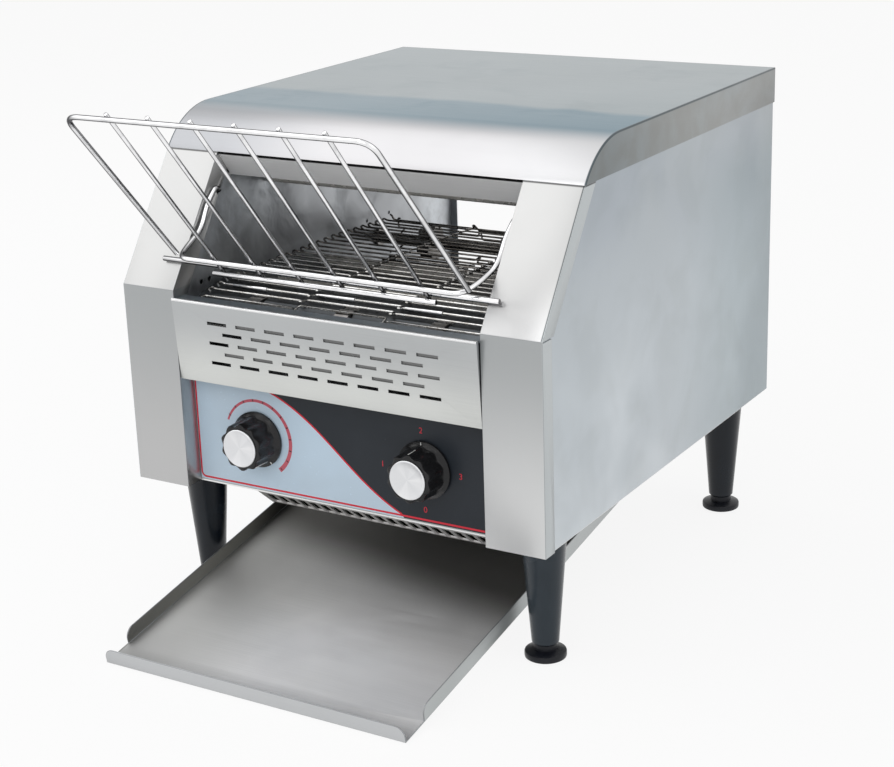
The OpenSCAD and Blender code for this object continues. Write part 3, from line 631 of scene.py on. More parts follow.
def header_finish():
    """Header strip over the opening, with a painted shadow line where the gap under the cover's
    edge lies in shade.
    """
    steel = Finish("header_steel", Metallic=0.5)
    lines, height = steel.streaks(ALONG_X, 1.2)
    tone = steel.mixed(lines, (0.9, 0.9, 0.9), (1.0, 1.0, 1.0))
    steel.rough(lines, 0.42, 0.55)
    steel.bump(height, 0.05, 0.3 * MM)
    # Painted shadow: the top of the strip, under the cover's edge, is painted near black.
    painted_gap_shadow = steel.at_end(UP, CORNER_Z, 2.6, 2.0)
    return steel.coloured(steel.mixed(painted_gap_shadow, tone, (0.004, 0.004, 0.004)))


def strip_finish():
    """Vent strip: light ribs in front, and its back wall painted near black behind the slots as
    painted shade.
    """
    steel, toned = sheet_steel(
        "strip_steel", (0.56, 0.55, 0.54), (0.44, 0.43, 0.42), ALONG_X, (0.35, 0.5)
    )
    # Painted shade: the back wall behind the slots is near black.
    behind = steel.at_end(REAR, strip_high.y, 2.2, 1.5)
    return steel.coloured(steel.mixed(behind, toned, (0.012, 0.012, 0.012)))


def tray_finish():
    """Tray sheet: brushed across and rubbed, with painted shade under the body, in front and on the
    left.
    """
    steel, toned = sheet_steel(
        "tray_steel", (0.94, 0.94, 0.935), (0.745, 0.75, 0.745), ALONG_X, (0.42, 0.56), 6.0, 1.6
    )
    rubbed = steel.patches(5.0, 0.4, 0.7)
    # Apart from the rubbed patches, these tints are painted shade: under the body, in front, on the
    # left and along the left edge.
    for mask, tint in (
        (rubbed, (0.9, 0.9, 0.91)),
        (steel.ramp((0.2, 1, 0), -120 * MM, -58 * MM), (0.25, 0.245, 0.235)),
        (steel.ramp(FRONT, 150 * MM, 262 * MM), (0.64, 0.64, 0.65)),
        (steel.ramp(LEFT, -5 * MM, 110 * MM), (0.58, 0.58, 0.57)),
        (steel.at_end(LEFT, -tray_low.x, 1.5, 1.1), (0.56, 0.56, 0.53)),
    ):
        toned = steel.tinted(mask, toned, tint)
    # Painted shade: the lip and the right wall get darker tones of their own.
    lip_tone = steel.mixed(rubbed, (0.56, 0.57, 0.58), (0.5, 0.51, 0.52))
    toned = steel.mixed(steel.at_end(FRONT, -tray_low.y, 4.0, 3.4), toned, lip_tone)
    wall_tone = steel.mixed(rubbed, (0.5, 0.52, 0.52), (0.43, 0.45, 0.45))
    return steel.coloured(steel.mixed(steel.at_end(RIGHT, tray_high.x, 0.8, 0.3), toned, wall_tone))


def heated_steel():
    """Inner sheet, dulled and mottled by heat, with painted shade towards the front."""
    steel = Finish("heated_steel", Metallic=1.0)
    mottle = steel.patches(26.0, 0.38, 0.66)
    warm = steel.mixed(mottle, (0.52, 0.54, 0.56), (0.74, 0.77, 0.8))
    dusty = steel.mixed(steel.patches(120.0, 0.35, 0.7), warm, (0.6, 0.62, 0.64))
    scorched = steel.mixed(steel.patches(9.0, 0.4, 0.62), (0.36, 0.37, 0.385), dusty)
    steel.rough(mottle, 0.34, 0.55)
    steel.bump(mottle, 0.25, 1.2 * MM)
    # Painted shade: darker towards the front.
    front = steel.ramp(FRONT, -60 * MM, 100 * MM)
    return steel.coloured(steel.tinted(front, scorched, (0.72, 0.73, 0.74)))


def painted_wire_shading(finish, bright, dark, start, end):
    """A wire's tones: its own colour along its middle, a painted dark reflection along its edges
    and painted shade underneath.
    """
    layer = finish.node("LayerWeight", {"Blend": 0.5})
    # Painted reflection where the wire is seen edge-on, and painted shade on faces turned down.
    rim = finish.stepped(layer.outputs["Facing"], start, end)
    outwards = finish.node("TexCoord").outputs["Normal"]
    downwards = finish.vector("DOT_PRODUCT", outwards, (0.25, -0.1, -0.96))["Value"]
    underside = finish.stepped(downwards, 0.8, 1.05)
    return finish.mixed(finish.combined("MAXIMUM", rim, underside), bright, dark)


def bright_wire():
    """Polished chromed wire with hazy patches, a painted dark reflection along its edges and
    painted shade beneath.
    """
    wire = Finish("chromed_wire", Metallic=1.0)
    haze = wire.patches(60.0, 0.4, 0.75)
    bright = wire.mixed(haze, (0.92, 0.92, 0.93), (0.74, 0.74, 0.75))
    wire.rough(haze, 0.08, 0.18)
    wire.bump(haze, 0.02, 0.3 * MM)
    return wire.coloured(painted_wire_shading(wire, bright, (0.035, 0.035, 0.04), 0.26, 0.58))


def belt_steel():
    """Belt wire, browned by heat in patches, and painted darker towards the rear as painted shade.
    """
    wire = Finish("belt_steel", Metallic=1.0)
    brown = wire.patches(45.0, 0.38, 0.62)
    spots = wire.patches(300.0, 0.4, 0.7)
    front_tone = wire.mixed(brown, (0.95, 0.95, 0.94), (0.7, 0.69, 0.67))
    shaded_rear_tone = wire.mixed(brown, (0.38, 0.36, 0.34), (0.12, 0.11, 0.1))
    # Painted shade: the belt turns darker towards the rear, inside the body.
    toned = wire.mixed(wire.ramp(REAR, -110 * MM, 35 * MM), front_tone, shaded_rear_tone)
    spotted = wire.tinted(spots, toned, (0.75, 0.73, 0.7))
    wire.rough(spots, 0.16, 0.34)
    wire.bump(spots, 0.1, 0.2 * MM)
    return wire.coloured(painted_wire_shading(wire, spotted, (0.03, 0.028, 0.026), 0.34, 0.72))


def plastic_surface(name, rough, grain_scale):
    """Moulded plastic with a fine grain and handled patches, with its colour still open."""
    plastic = Finish(name, Specular_IOR_Level=0.32)
    handled = plastic.patches(22.0, 0.4, 0.75)
    plastic.rough(handled, *rough)
    plastic.bump(plastic.patches(grain_scale, 0.3, 0.7), 0.25, 0.12 * MM)
    return plastic, handled


def moulded_plastic(name, colour, lighter, rough, grain_scale=900.0):
    plastic, handled = plastic_surface(name, rough, grain_scale)
    return plastic.coloured(plastic.mixed(handled, colour, lighter))


def leg_finish():
    """Leg plastic: the right front leg painted paler as painted light, the three others darker as
    painted shade.
    """
    plastic, handled = plastic_surface("leg_plastic", (0.2, 0.3), 900.0)
    lit_leg_tone = plastic.mixed(handled, (0.018, 0.028, 0.038), (0.026, 0.038, 0.05))
    shaded_leg_tone = plastic.mixed(handled, (0.002, 0.005, 0.01), (0.005, 0.01, 0.017))
    # Painted light on the right front leg, painted shade on the other three.
    painted_lit_leg = plastic.ramp((1, -1, 0), 100 * MM, 200 * MM)
    return plastic.coloured(plastic.mixed(painted_lit_leg, shaded_leg_tone, lit_leg_tone))


def printed_film(name, colour, shade):
    """Printed film on the control panel: smooth, with faint unevenness and dust."""
    film = Finish(name, Specular_IOR_Level=0.25)
    cloud = film.patches(14.0, 0.3, 0.7)
    dust = film.patches(420.0, 0.62, 0.8)
    dusty = tuple(min(1.0, share * 1.12 + 0.01) for share in colour)
    film.rough(cloud, 0.28, 0.36)
    film.bump(dust, 0.05, 0.1 * MM)
    return film.coloured(film.mixed(dust, film.mixed(cloud, colour, shade), dusty))


def turned_aluminium(name, centre):
    """Spun disc: fine rings about its own middle, and painted highlight wedges round it. One
    material for each disc's place.
    """
    disc = Finish(name, Metallic=1.0, Anisotropic=0.6)
    spot = disc.vector("SUBTRACT", disc.place(), centre)["Vector"]
    flat = disc.vector("MULTIPLY", spot, (1, 0, 1))["Vector"]
    radius = disc.vector("LENGTH", flat)["Value"]
    rings = disc.noise({"W": radius, "Scale": 5200.0, "Detail": 2.0}, noise_dimensions="1D")
    direction = disc.vector("NORMALIZE", flat)["Vector"]
    # Painted highlight: bright and dark wedges round the disc's middle.
    painted_wedge_highlights = disc.noise({"Vector": direction, "Scale": 1.6, "Detail": 1.0})
    disc.rough(rings, 0.24, 0.42)
    disc.bump(rings, 0.35, 0.1 * MM)
    return disc.coloured(disc.mixed(painted_wedge_highlights, (0.66, 0.67, 0.69), (0.9, 0.9, 0.91)))


def fired_ceramic():
    ceramic = Finish("fired_ceramic")
    pores = ceramic.patches(600.0, 0.45, 0.7)
    base = ceramic.mixed(ceramic.patches(40.0, 0.4, 0.6), (0.78, 0.75, 0.68), (0.66, 0.62, 0.55))
    ceramic.rough(pores, 0.45, 0.7)
    ceramic.bump(pores, 0.2, 0.3 * MM)
    return ceramic.coloured(ceramic.mixed(pores, base, (0.55, 0.5, 0.43)))


def quartz():
    """Milky heater tube."""
    tube = Finish("quartz", Transmission_Weight=0.35, IOR=1.46)
    cloud = tube.patches(90.0, 0.3, 0.7)
    tube.rough(cloud, 0.18, 0.32)
    return tube.coloured(tube.mixed(cloud, (0.8, 0.79, 0.76), (0.66, 0.64, 0.6)))


def machined_metal(name, light, dark, rough=(0.22, 0.38)):
    """Turned or plated metal: shafts, brass, screws."""
    metal = Finish(name, Metallic=1.0)
    lines, height = metal.streaks((900, 900, 900), 1.2)
    stain = metal.patches(50.0, 0.4, 0.7)
    metal.rough(lines, *rough)
    metal.bump(height, 0.08, 0.2 * MM)
    return metal.coloured(metal.mixed(stain, metal.mixed(lines, dark, light), dark))


cover_steel = cover_finish()
side_steel = side_finish()
post_steel = post_finish()
tray_steel = tray_finish()
rear_steel = brushed_steel("rear_steel", (0.52, 0.54, 0.56), (0.45, 0.47, 0.49), ALONG_Z)
baffle_steel = baffle_finish()
header_steel = header_finish()
# Painted shade: the feed ramp is given a dark blue-grey tone.
ramp_steel = brushed_steel(
    "ramp_steel", (0.3, 0.34, 0.38), (0.2, 0.24, 0.28), ALONG_X, (0.34, 0.46), 22.0
)
# Painted shade: the belt deck under the belt is painted near black.
deck_steel = brushed_steel(
    "deck_steel", (0.1, 0.105, 0.11), (0.05, 0.055, 0.06), ALONG_X, (0.4, 0.55), 22.0
)
strip_steel = strip_finish()
dull_steel = brushed_steel(
    "dull_steel", (0.42, 0.42, 0.42), (0.34, 0.34, 0.34), ALONG_X, (0.35, 0.5)
)
base_steel = brushed_steel(
    "base_steel", (0.86, 0.86, 0.86), (0.78, 0.78, 0.78), ALONG_X, (0.4, 0.5)
)
# Painted reflection: the dark tone on the cover's rounded folds stands in for the dark they
# reflect.
painted_fold_reflection = edge_steel("painted_fold_reflection", (0.17, 0.2, 0.21), (0.12, 0.14, 0.15))
fold_shine = edge_steel("fold_shine", (0.86, 0.86, 0.86), (0.7, 0.7, 0.71), (0.2, 0.3))
cut_edge = edge_steel("cut_edge", (0.3, 0.31, 0.32), (0.24, 0.25, 0.26))
inner_steel = heated_steel()
chrome = bright_wire()
belt_metal = belt_steel()
knob_plastic = moulded_plastic(
    "knob_plastic", (0.012, 0.012, 0.013), (0.02, 0.02, 0.022), (0.12, 0.24)
)
leg_plastic = leg_finish()
foot_rubber = moulded_plastic(
    "foot_rubber", (0.005, 0.006, 0.01), (0.01, 0.011, 0.016), (0.32, 0.45), 500.0
)
fan_plastic = moulded_plastic(
    "fan_plastic", (0.015, 0.015, 0.015), (0.03, 0.03, 0.03), (0.4, 0.55)
)
phenolic = moulded_plastic("phenolic", (0.1, 0.055, 0.03), (0.13, 0.075, 0.045), (0.35, 0.5))
ivory_plastic = moulded_plastic(
    "ivory_plastic", (0.74, 0.71, 0.62), (0.66, 0.63, 0.55), (0.35, 0.5)
)
liner_paint = moulded_plastic("liner_paint", (0.26, 0.26, 0.26), (0.2, 0.2, 0.2), (0.5, 0.6))
film_light = printed_film("film_light", (0.6, 0.74, 0.87), (0.56, 0.68, 0.79))
film_dark = printed_film("film_dark", (0.018, 0.023, 0.03), (0.024, 0.029, 0.037))
film_red = printed_film("film_red", (0.74, 0.035, 0.06), (0.66, 0.03, 0.05))
film_scale = printed_film("film_scale", (0.62, 0.13, 0.17), (0.56, 0.1, 0.14))
film_mark = printed_film("film_mark", (0.03, 0.02, 0.02), (0.05, 0.03, 0.03))
pointer_white = printed_film("pointer_white", (0.78, 0.78, 0.76), (0.68, 0.68, 0.66))
ceramic = fired_ceramic()
quartz_tube = quartz()
shaft_metal = machined_metal("shaft_metal", (0.36, 0.35, 0.34), (0.18, 0.17, 0.165))
brass_metal = machined_metal("brass_metal", (0.62, 0.47, 0.22), (0.46, 0.34, 0.16))
zinc_metal = machined_metal("zinc_metal", (0.66, 0.66, 0.67), (0.52, 0.52, 0.53))
motor_metal = machined_metal("motor_metal", (0.3, 0.31, 0.33), (0.22, 0.23, 0.24), (0.35, 0.5))


def paint(material, *nodes):
    """Gives CAD nodes their finish."""
    for name in nodes:
        slots = NODES[name].data.materials
        slots.clear()
        slots.append(material)


paint(dull_steel, "control_panel", "tray_hangers", "lower_reflector")
paint(strip_steel, "vent_strip")
paint(header_steel, "tunnel_ceiling")
paint(inner_steel, "inner_wall_left", "inner_wall_right", "heat_shield")
paint(ramp_steel, "feed_ramp")
paint(deck_steel, "belt_deck")
paint(base_steel, "base_plate")
paint(film_dark, "panel_overlay")
paint(quartz_tube, "upper_heaters", "lower_heaters")
paint(ceramic, "heater_caps")
paint(shaft_metal, "shaft_bushings", "drive_shaft", "idler_shaft", "drive_wheels", "idler_wheels")
paint(zinc_metal, "motor_shaft", "speed_spindle", "switch_spindle", "control_nuts", "leg_bolts")
paint(zinc_metal, "case_screws")
paint(brass_metal, "shaft_coupling")
paint(motor_metal, "gear_motor")
paint(fan_plastic, "fan_frame", "fan_rotor", "cable_gland", "gland_nut")
paint(phenolic, "speed_control", "rotary_switch")
paint(ivory_plastic, "terminal_block")

# -------- camera

CAMERA_AZIMUTH = math.radians(31.467)
CAMERA_ELEVATION = math.radians(18.337)
CAMERA_ROLL = math.radians(-1.933)
CAMERA_PLACE = Vector((768.2, -1234.95, 642.6)) * MM
CAMERA_LENS = 76.1
CAMERA_CLIP = (0.05, 20)
SENSOR_WIDTH = 36


def add_camera():
    back = Vector((
        math.sin(CAMERA_AZIMUTH) * math.cos(CAMERA_ELEVATION),
        -math.cos(CAMERA_AZIMUTH) * math.cos(CAMERA_ELEVATION),
        math.sin(CAMERA_ELEVATION),
    ))
    right = (-back).cross(Vector((0, 0, 1))).normalized()
    up = right.cross(-back)
    tilted_right = right * math.cos(CAMERA_ROLL) + up * math.sin(CAMERA_ROLL)
    tilted_up = up * math.cos(CAMERA_ROLL) - right * math.sin(CAMERA_ROLL)
    data = bpy.data.cameras.new("camera")
    data.lens = CAMERA_LENS
    data.sensor_width = SENSOR_WIDTH
    data.clip_start, data.clip_end = CAMERA_CLIP
    camera = bpy.data.objects.new("camera", data)
    bpy.context.scene.collection.objects.link(camera)
    turn = Matrix((tilted_right, tilted_up, back)).transposed().to_4x4()
    camera.matrix_world = Matrix.Translation(CAMERA_PLACE) @ turn
    bpy.context.scene.camera = camera


add_camera()

# -------- loading rack


def on_rack(x, along, off=0.0):
    """A point of the rack's plane: along it from the main bar, and off it towards the bread."""
    direction = Vector((0, -math.cos(RACK_ANGLE), math.sin(RACK_ANGLE)))
    normal = Vector((0, math.sin(RACK_ANGLE), math.cos(RACK_ANGLE)))
    return MAIN_BAR + Vector((x, 0, 0)) + direction * along + normal * off


def flipped(points):
    return [Vector((-p.x, p.y, p.z)) for p in reversed(points)]


def rack_frame():
    """The outer hoop, and the main bar whose ends bend back to the hooks."""
    hoop = [
        on_rack(RACK_HALF_W + 2.5 * MM, 1 * MM, 3.2 * MM),
        on_rack(RACK_HALF_W, RACK_LENGTH),
        on_rack(-RACK_HALF_W, RACK_LENGTH),
        on_rack(-RACK_HALF_W - 0.5 * MM, 1 * MM, 3.2 * MM),
    ]
    arm = [
        on_rack(RACK_HALF_W - 3 * MM, 0),
        Vector((RACK_HALF_W + 2 * MM, FRONT_Y + 12 * MM, 295.5 * MM)),
        Vector((131 * MM, FRONT_Y + 34 * MM, 303 * MM)),
        Vector((132 * MM, FRONT_Y + 46 * MM, 322 * MM)),
        Vector((132.6 * MM, HOOK.y - 6 * MM, HOOK.z + 5 * MM)),
        Vector((133.5 * MM, HOOK.y, HOOK.z + 1 * MM)),
        Vector((139.5 * MM, HOOK.y, HOOK.z)),
    ]
    joined([
        bent_wire(hoop, RACK_WIRE, 13 * MM, steps=12),
        bent_wire(flipped(arm) + arm, RACK_WIRE, 9 * MM, steps=8),
    ])
    finished("rack_frame_wire", "rack", chrome, ["rack_frame"])


def rack_rods():
    """The inner rods, with rounded ends; their feet sit a little to the left of their tops."""
    off = (RACK_WIRE + RACK_ROD) / 2
    rods = []
    for i in range(RACK_RODS):
        x = (i - (RACK_RODS - 1) / 2) * RACK_PITCH
        lean = 0.8 * MM if i == RACK_RODS - 1 else 2.8 * MM
        ends = [on_rack(x - lean, -18 * MM, off), on_rack(x, RACK_LENGTH + 1.6 * MM, off)]
        rods.append(bent_wire(ends, RACK_ROD))
    joined(rods)
    rounded(0.9 * MM, 3, 50)
    finished("rack_rods_wire", "rack", chrome, ["rack_rods"])


def rack_bars():
    """The low bar under the rods, and the longer rest bar above them."""
    above = (RACK_WIRE + RACK_ROD) / 2 + (RACK_ROD + REST_BAR) / 2
    low_bar = [on_rack(x * MM, BAR_ALONG) for x in (-99, 97)]
    rest_bar = [on_rack(x * MM, BAR_ALONG, above) for x in (-150.7, 144.8)]
    joined([bent_wire(low_bar, RACK_WIRE), bent_wire(rest_bar, REST_BAR)])
    rounded(0.7 * MM, 2, 50)
    finished("rack_bars_wire", "rack", chrome, ["rack_bars"])


rack_frame()
rack_rods()
rack_bars()

# -------- belt


def belt_strand():
    """One belt wire: three straight spaces, a hook at each jog and a curled loop at each end."""
    near, far = -JOG / 2, JOG / 2
    reach = BELT_PITCH - BELT_WIRE - LINK_GAP
    hook = [
        Vector((JOG_X - 2.2 * MM, far, 0)),
        Vector((JOG_X - 1.4 * MM, near - reach * 0.55, 1.1 * MM)),
        Vector((JOG_X + 0.2 * MM, near - reach * 0.55, 1.1 * MM)),
        Vector((JOG_X + 0.6 * MM, near, 0)),
    ]
    loop = [
        Vector((BELT_HALF_W + 1.4 * MM, near, 0.2 * MM)),
        Vector((BELT_HALF_W + 2.4 * MM, near - reach * 0.35, 2.6 * MM)),
        Vector((BELT_HALF_W + 1.6 * MM, near - reach * 0.9, 2.2 * MM)),
        Vector((BELT_HALF_W - 1.6 * MM, near - reach, 0.4 * MM)),
    ]
    return flipped(hook + loop) + hook + loop


def belt_places():
    """Where each wire lies: on the arched upper run, the lower run and round both shafts."""
    half = BELT_TEETH / 2
    for i in range(int(2 * BELT_SPAN + BELT_TEETH)):
        s = i + BELT_PHASE
        lift = turn = 0
        if s <= BELT_SPAN:
            y = SHAFT_FRONT_Y + s * BELT_PITCH
            lift = BELT_RISE * min(1, s / FRONT_RISE, (BELT_SPAN - s) / REAR_RISE)
        elif s <= BELT_SPAN + half:
            y, turn = SHAFT_REAR_Y, (s - BELT_SPAN) * math.pi / half
        elif s <= 2 * BELT_SPAN + half:
            y, turn = SHAFT_REAR_Y - (s - BELT_SPAN - half) * BELT_PITCH, math.pi
        else:
            y, turn = SHAFT_FRONT_Y, math.pi + (s - 2 * BELT_SPAN - half) * math.pi / half
        yield (
            Matrix.Translation((0, y, SHAFT_Z + lift))
            @ Matrix.Rotation(-turn, 4, "X")
            @ Matrix.Translation((0, 0, BELT_RADIUS))
        )


def belt():
    strand = bent_wire(belt_strand(), BELT_WIRE, 2.2 * MM, sides=1, steps=3)
    strands = []
    for place in belt_places():
        copy = strand.copy()
        copy.data = strand.data.copy()
        copy.data.transform(place)
        bpy.context.scene.collection.objects.link(copy)
        strands.append(copy)
    bpy.data.objects.remove(strand)
    joined(strands)
    finished("belt_wires", "body", belt_metal, ["belt"], smooth=60)


belt()
folded("splice_sleeves", chrome, fold_shine, 0.5 * MM)

# -------- casing and tray


def casing():
    """Cover, side sheets, posts and rear: sheet, tone and width of the edges."""
    for node, sheet, edge, width in (
        ("top_cover", cover_steel, painted_fold_reflection, 0.5),
        ("side_panel_left", side_steel, cut_edge, 0.3),
        ("side_panel_right", side_steel, cut_edge, 0.3),
        ("front_post_left", post_steel, cut_edge, 0.4),
        ("front_post_right", post_steel, cut_edge, 0.4),
        ("rear_panel", rear_steel, cut_edge, 0.3),
    ):
        folded(node, sheet, edge, width * MM)


def baffle():
    """The slotted baffle, with a rolled hem along its top edge."""
    low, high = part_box("front_baffle")
    hem = Vector((high.x - 0.2 * MM, low.y + 0.9 * MM, high.z - 1.0 * MM))
    rolled = bent_wire(flipped([hem]) + [hem], 2.4 * MM, sides=6)
    rolled.data.materials.append(fold_shine)
    folded("front_baffle", baffle_steel, cut_edge, 0.3 * MM, [rolled])


def baffle_liner():
    """A notched sheet close behind the baffle's slots, leaning like the baffle."""
    notches = (
        (-92, 213.5), (128, 213.5), (128, 247), (-80, 247), (-80, 238), (-66, 238),
        (-66, 230), (-80, 230), (-80, 222), (-92, 222),
    )
    leaning = FACING_FRONT @ Matrix.Rotation(LINER_LEAN, 4, "X")
    outline = [(x * MM, z * MM) for x, z in notches]
    plate([outline], 0.6 * MM, leaning, (0, FRONT_Y + LINER_BACK, 0))
    add_modifier("BEVEL", width=0.15 * MM, segments=1)
    finished("baffle_liner", "body", liner_paint)


casing()
baffle()
baffle_liner()
folded("tray", tray_steel, cut_edge, 0.4 * MM)

# -------- printed panel


def division(x):
    """Height of the line that divides the light field from the dark one."""
    return DIVISION_Z - DIVISION_RISE * math.tanh(x / DIVISION_SPREAD)


def printed(name, outlines, material, depth):
    """A printed field, its middle a depth in millimetres in front of the panel's film."""
    plate(outlines, PRINT, FACING_FRONT, (0, panel_low.y - depth * MM, 0))
    finished(name, "body", material)


def stroke(path, width, last_width=None):
    """The outline of a line along a path, of one width or widening to another."""
    widening = 0 if last_width is None else last_width - width
    left, right = [], []
    for i, (u, v) in enumerate(path):
        before = path[max(0, i - 1)]
        after = path[min(len(path) - 1, i + 1)]
        along = Vector((after[0] - before[0], after[1] - before[1])).normalized()
        half = (width + widening * i / (len(path) - 1)) / 2
        left.append((u - along.y * half, v + along.x * half))
        right.append((u + along.y * half, v - along.x * half))
    return left + right[::-1]


def on_circle(centre, radius, degrees):
    turn = math.radians(degrees)
    return centre[0] + radius * math.cos(turn), centre[1] + radius * math.sin(turn)


def arc(centre, radius, first, last, steps):
    """Points along an arc, by angles in degrees."""
    turns = [first + (last - first) * i / steps for i in range(steps + 1)]
    return [on_circle(centre, radius, turn) for turn in turns]


def panel_fields():
    """Light field, dividing line and red border."""
    left, right = panel_low.x, panel_high.x
    bottom, top = panel_low.z, panel_high.z
    reach = [left + (right - left) * i / DIVISION_STEPS for i in range(DIVISION_STEPS + 1)]
    line = [(x, division(x)) for x in reach if bottom + 2 * MM < division(x) < top]
    field = [(left, bottom), (line[-1][0] + 1.5 * MM, bottom), *line[::-1], (left, top)]
    printed("panel_light_field", [field], film_light, 0.06)

    foot = bottom + 1.9 * MM
    side = left + 0.95 * MM
    bend = arc((side + BORDER_R, foot + BORDER_R), BORDER_R, 180, 270, 6)
    printed("panel_border", [stroke([(side, top), *bend, (right, foot)], 1.5 * MM)], film_red, 0.10)
    printed("panel_division", [stroke(line, 1.3 * MM)], film_red, 0.12)


def speed_scale():
    """A plain band round the speed knob, widening as the speed rises, with ticks."""
    middle = (-KNOB_X, SCALE_Z)
    band = stroke(arc(middle, SCALE_R, SCALE_FROM, SCALE_TO, 48), 1.7 * MM, 3.6 * MM)
    printed("speed_scale", [band], film_scale, 0.12)
    ticks = []
    for i in range(SCALE_TICKS):
        turn = TICKS_FROM + (TICKS_TO - TICKS_FROM) * i / (SCALE_TICKS - 1)
        ends = [on_circle(middle, radius, turn) for radius in TICK_ENDS]
        ticks.append(stroke(ends, 0.8 * MM))
    printed("speed_ticks", ticks, film_mark, 0.16)


def switch_numbers():
    """Plain numbers at the switch's four positions."""
    for text, x, z in (("1", 38.5, 145), ("2", 73, 176.6), ("3", 106, 146), ("0", 74.7, 114.5)):
        start()
        bpy.ops.object.text_add(location=(0, 0, 0))
        number = bpy.context.object
        number.data.body = text
        number.data.size = 6.5 * MM
        number.data.align_x = "CENTER"
        number.data.align_y = "CENTER"
        number.data.extrude = PRINT / 2
        number = curve_to_mesh()
        place = Matrix.Translation((x * MM, panel_low.y - 0.08 * MM, z * MM))
        number.data.transform(place @ FACING_FRONT)
        finished(f"switch_number_{text}", "body", film_red)


panel_fields()
speed_scale()
switch_numbers()

# -------- legs and feet


def middle_of(low, high):
    """The move to the upright axis through the middle of a box."""
    return Matrix.Translation(((low.x + high.x) / 2, (low.y + high.y) / 2, 0))


def leg(corner):
    """A tapered leg with a rounded collar at its top and a small bead at its lower end."""
    low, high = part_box(f"leg_{corner}")
    top, collar = high.z, (high.x - low.x) / 2
    bore = 4.2 * MM
    piece = turned(
        [
            (bore, low.z + 8 * MM), (bore, low.z),
            (9.6 * MM, low.z), (10.4 * MM, low.z + 0.8 * MM), (10.5 * MM, low.z + 2 * MM),
            (17.0 * MM, top - 7.5 * MM), (collar - 0.6 * MM, top - 6.2 * MM),
            (collar, top - 5.4 * MM), (collar, top - 1 * MM),
            (collar - 0.8 * MM, top - 0.1 * MM), (bore, top - 0.1 * MM), (bore, top - 12 * MM),
        ],
        72,
    )
    placed(piece, middle_of(low, high))
    finished(f"leg_{corner}_turned", "body", leg_plastic, [f"leg_{corner}"])


def foot(corner):
    """A levelling foot: wide disc with a soft rim, neck and stud."""
    node = f"foot_{corner}"
    low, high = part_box(node)
    disc = (high.x - low.x) / 2
    neck = 8.9 * MM
    stud = 3.9 * MM
    piece = turned(
        [
            (disc - 1.0 * MM, 0), (disc - 0.2 * MM, 0.5 * MM), (disc, 1.2 * MM),
            (disc, 4.2 * MM), (disc - 0.3 * MM, 5.0 * MM), (disc - 1.2 * MM, 5.5 * MM),
            (neck, 6.9 * MM), (neck, 11.2 * MM), (neck - 0.5 * MM, 11.8 * MM),
            (stud, 11.9 * MM), (stud, high.z - 0.6 * MM), (stud - 0.6 * MM, high.z),
        ],
        64,
    )
    placed(piece, middle_of(low, high))
    finished(f"{node}_turned", NODES[node]["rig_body"], foot_rubber, [node])


for corner in ("front_left", "front_right", "rear_left", "rear_right"):
    leg(corner)
    foot(corner)

# -------- knobs


def flutes(grip):
    """Presses the flutes into a knob's grip, deeper from its foot upwards."""
    for vertex in grip.data.vertices:
        spot = vertex.co
        if spot.z > GRIP_FOOT and math.hypot(spot.x, spot.y) > GRIP_WALL:
            angle = math.atan2(spot.y, spot.x) - math.pi / 2
            flute = 0.5 - 0.5 * math.cos(KNOB_LOBES * angle)
            rise = min(1.0, (spot.z - GRIP_FOOT) / FLUTE_RISE)
            factor = GRIP_SWELL - FLUTE_DEPTH * rise * flute
            spot.x *= factor
            spot.y *= factor


def knob_grip(node, body, place, skirt, depth):
    """A fluted knob with a wide skirt and a flat back."""
    grip = turned(
        [
            (9.6 * MM, 0), (skirt - 0.6 * MM, 0), (skirt, 0.6 * MM), (skirt, 2.2 * MM),
            (skirt - 1.4 * MM, 3.6 * MM), (19.4 * MM, 4.6 * MM), (18.8 * MM, 5.6 * MM),
            (18.7 * MM, depth * 0.5 - 0.2 * MM), (18.5 * MM, depth - 2.0 * MM),
            (18.0 * MM, depth - 0.8 * MM), (17.0 * MM, depth - 0.3 * MM),
            (15.2 * MM, depth - 0.3 * MM),
        ],
        160,
    )
    flutes(grip)
    placed(grip, place @ FACING_FRONT)
    finished(f"{node}_grip", body, knob_plastic, [node], smooth=40)


def knob_pointer(node, body, place, depth):
    """The white line across a knob's skirt and up its grip."""
    bars = []
    for size, middle in (
        ((0.8 * MM, 3.2 * MM, 0.5 * MM), (0, 21.0 * MM, 4.0 * MM)),
        ((0.8 * MM, 0.6 * MM, depth - 8 * MM), (0, 18.95 * MM, depth * 0.5 + 2 * MM)),
    ):
        start()
        bpy.ops.mesh.primitive_cube_add(size=1, location=middle)
        bar = bpy.context.object
        bar.scale = size
        bpy.ops.object.transform_apply(location=True, scale=True)
        add_modifier("BEVEL", width=0.15 * MM, segments=2)
        bars.append(bar)
    placed(joined(bars), place @ FACING_FRONT)
    finished(f"{node}_pointer", body, pointer_white)


def knob(node, body, x, pointer_turn):
    low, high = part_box(node)
    place = Matrix.Translation((x, high.y, KNOB_Z))
    depth = high.y - low.y
    knob_grip(node, body, place, (high.x - low.x) / 2, depth)
    knob_pointer(node, body, place @ Matrix.Rotation(pointer_turn, 4, "Y"), depth)


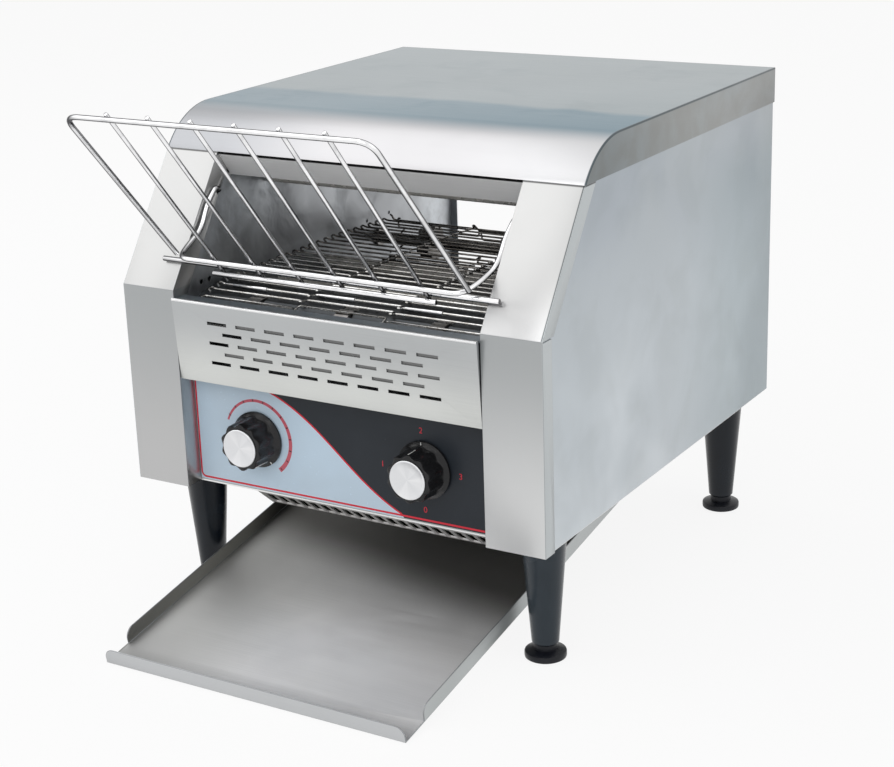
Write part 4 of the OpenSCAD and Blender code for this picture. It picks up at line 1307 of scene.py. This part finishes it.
def knob_cap(node, body, x):
    """Spun metal disc with a rolled rim and a shallow dish."""
    low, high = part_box(node)
    centre = (x, high.y, KNOB_Z)
    radius = (high.x - low.x) / 2
    depth = high.y - low.y
    piece = turned(
        [
            (radius - 0.2 * MM, 0), (radius, 0.3 * MM), (radius, depth - 0.35 * MM),
            (radius - 0.35 * MM, depth), (radius - 1.1 * MM, depth),
            (radius - 1.6 * MM, depth - 0.3 * MM), (radius * 0.5, depth - 0.38 * MM),
            (0.4 * MM, depth - 0.4 * MM),
        ],
        96,
    )
    placed(piece, Matrix.Translation(centre) @ FACING_FRONT)
    finished(f"{node}_disc", body, turned_aluminium(f"{node}_metal", centre), [node])


knob("speed_knob", "speed_dial", -KNOB_X, math.radians(140))
knob("switch_knob", "switch_dial", KNOB_X, 0.0)
knob_cap("speed_knob_cap", "speed_dial", -KNOB_X)
knob_cap("switch_knob_cap", "switch_dial", KNOB_X)

# -------- stage, light and world

FLOOR_SIZE = 40
FLOOR_WHITE = 0.88
WORLD_LIGHT = 0.55


def seen_directly(nodes):
    """1 for rays from the camera, and for mirrored and refracted ones."""
    rays = nodes.node("LightPath").outputs
    first = nodes.calculated("MAXIMUM", rays["Is Camera Ray"], rays["Is Glossy Ray"])
    return nodes.calculated("MAXIMUM", first, rays["Is Transmission Ray"])


def add_floor():
    """White paper floor, which keeps a faint shadow."""
    start()
    bpy.ops.mesh.primitive_plane_add(size=FLOOR_SIZE, location=(0, 0, -0.4 * MM))
    floor = bpy.context.object
    floor.name = "floor"
    paper = Finish("floor_paper", Roughness=0.9)
    white = paper.node("Emission", {"Strength": 1.0})
    share = paper.calculated("MULTIPLY", seen_directly(paper), FLOOR_WHITE)
    mix = paper.node("MixShader", {0: share, 1: paper.shader.outputs[0], 2: white.outputs[0]})
    paper.fill(paper.tree.nodes["Material Output"].inputs["Surface"], mix.outputs[0])
    floor.data.materials.append(paper.coloured((0.93, 0.93, 0.93)))


def add_world():
    """White where it is seen, and softer where it only lights."""
    world = bpy.data.worlds.new("studio")
    bpy.context.scene.world = world
    world.use_nodes = True
    world.node_tree.nodes.clear()
    sky = Nodes(world.node_tree)
    soft, white = (
        sky.node("Background", {"Color": (1, 1, 1), "Strength": strength}).outputs[0]
        for strength in (WORLD_LIGHT, 1.0)
    )
    mix = sky.node("MixShader", {0: seen_directly(sky), 1: soft, 2: white})
    sky.node("OutputWorld", {"Surface": mix.outputs[0]})


def add_light(name, place, target, size, radiance):
    """A square soft box, by the brightness of its face."""
    data = bpy.data.lights.new(name, "AREA")
    data.shape = "SQUARE"
    data.size = size
    data.energy = radiance * math.pi * size * size
    light = bpy.data.objects.new(name, data)
    bpy.context.scene.collection.objects.link(light)
    light.location = place
    light.rotation_mode = "QUATERNION"
    light.rotation_quaternion = (Vector(target) - Vector(place)).to_track_quat("-Z", "Y")


add_floor()
add_world()
add_light("key", (-1.45, -0.5, 2.1), (0, -0.05, 0.25), 3.0, 0.78)
add_light("front", (0.3, -2.6, 1.9), (0, 0, 0.2), 1.6, 1.5)
add_light("right", (2.4, -0.3, 1.5), (0, 0, 0.2), 1.6, 0.6)
bpy.context.scene.view_settings.view_transform = "Standard"
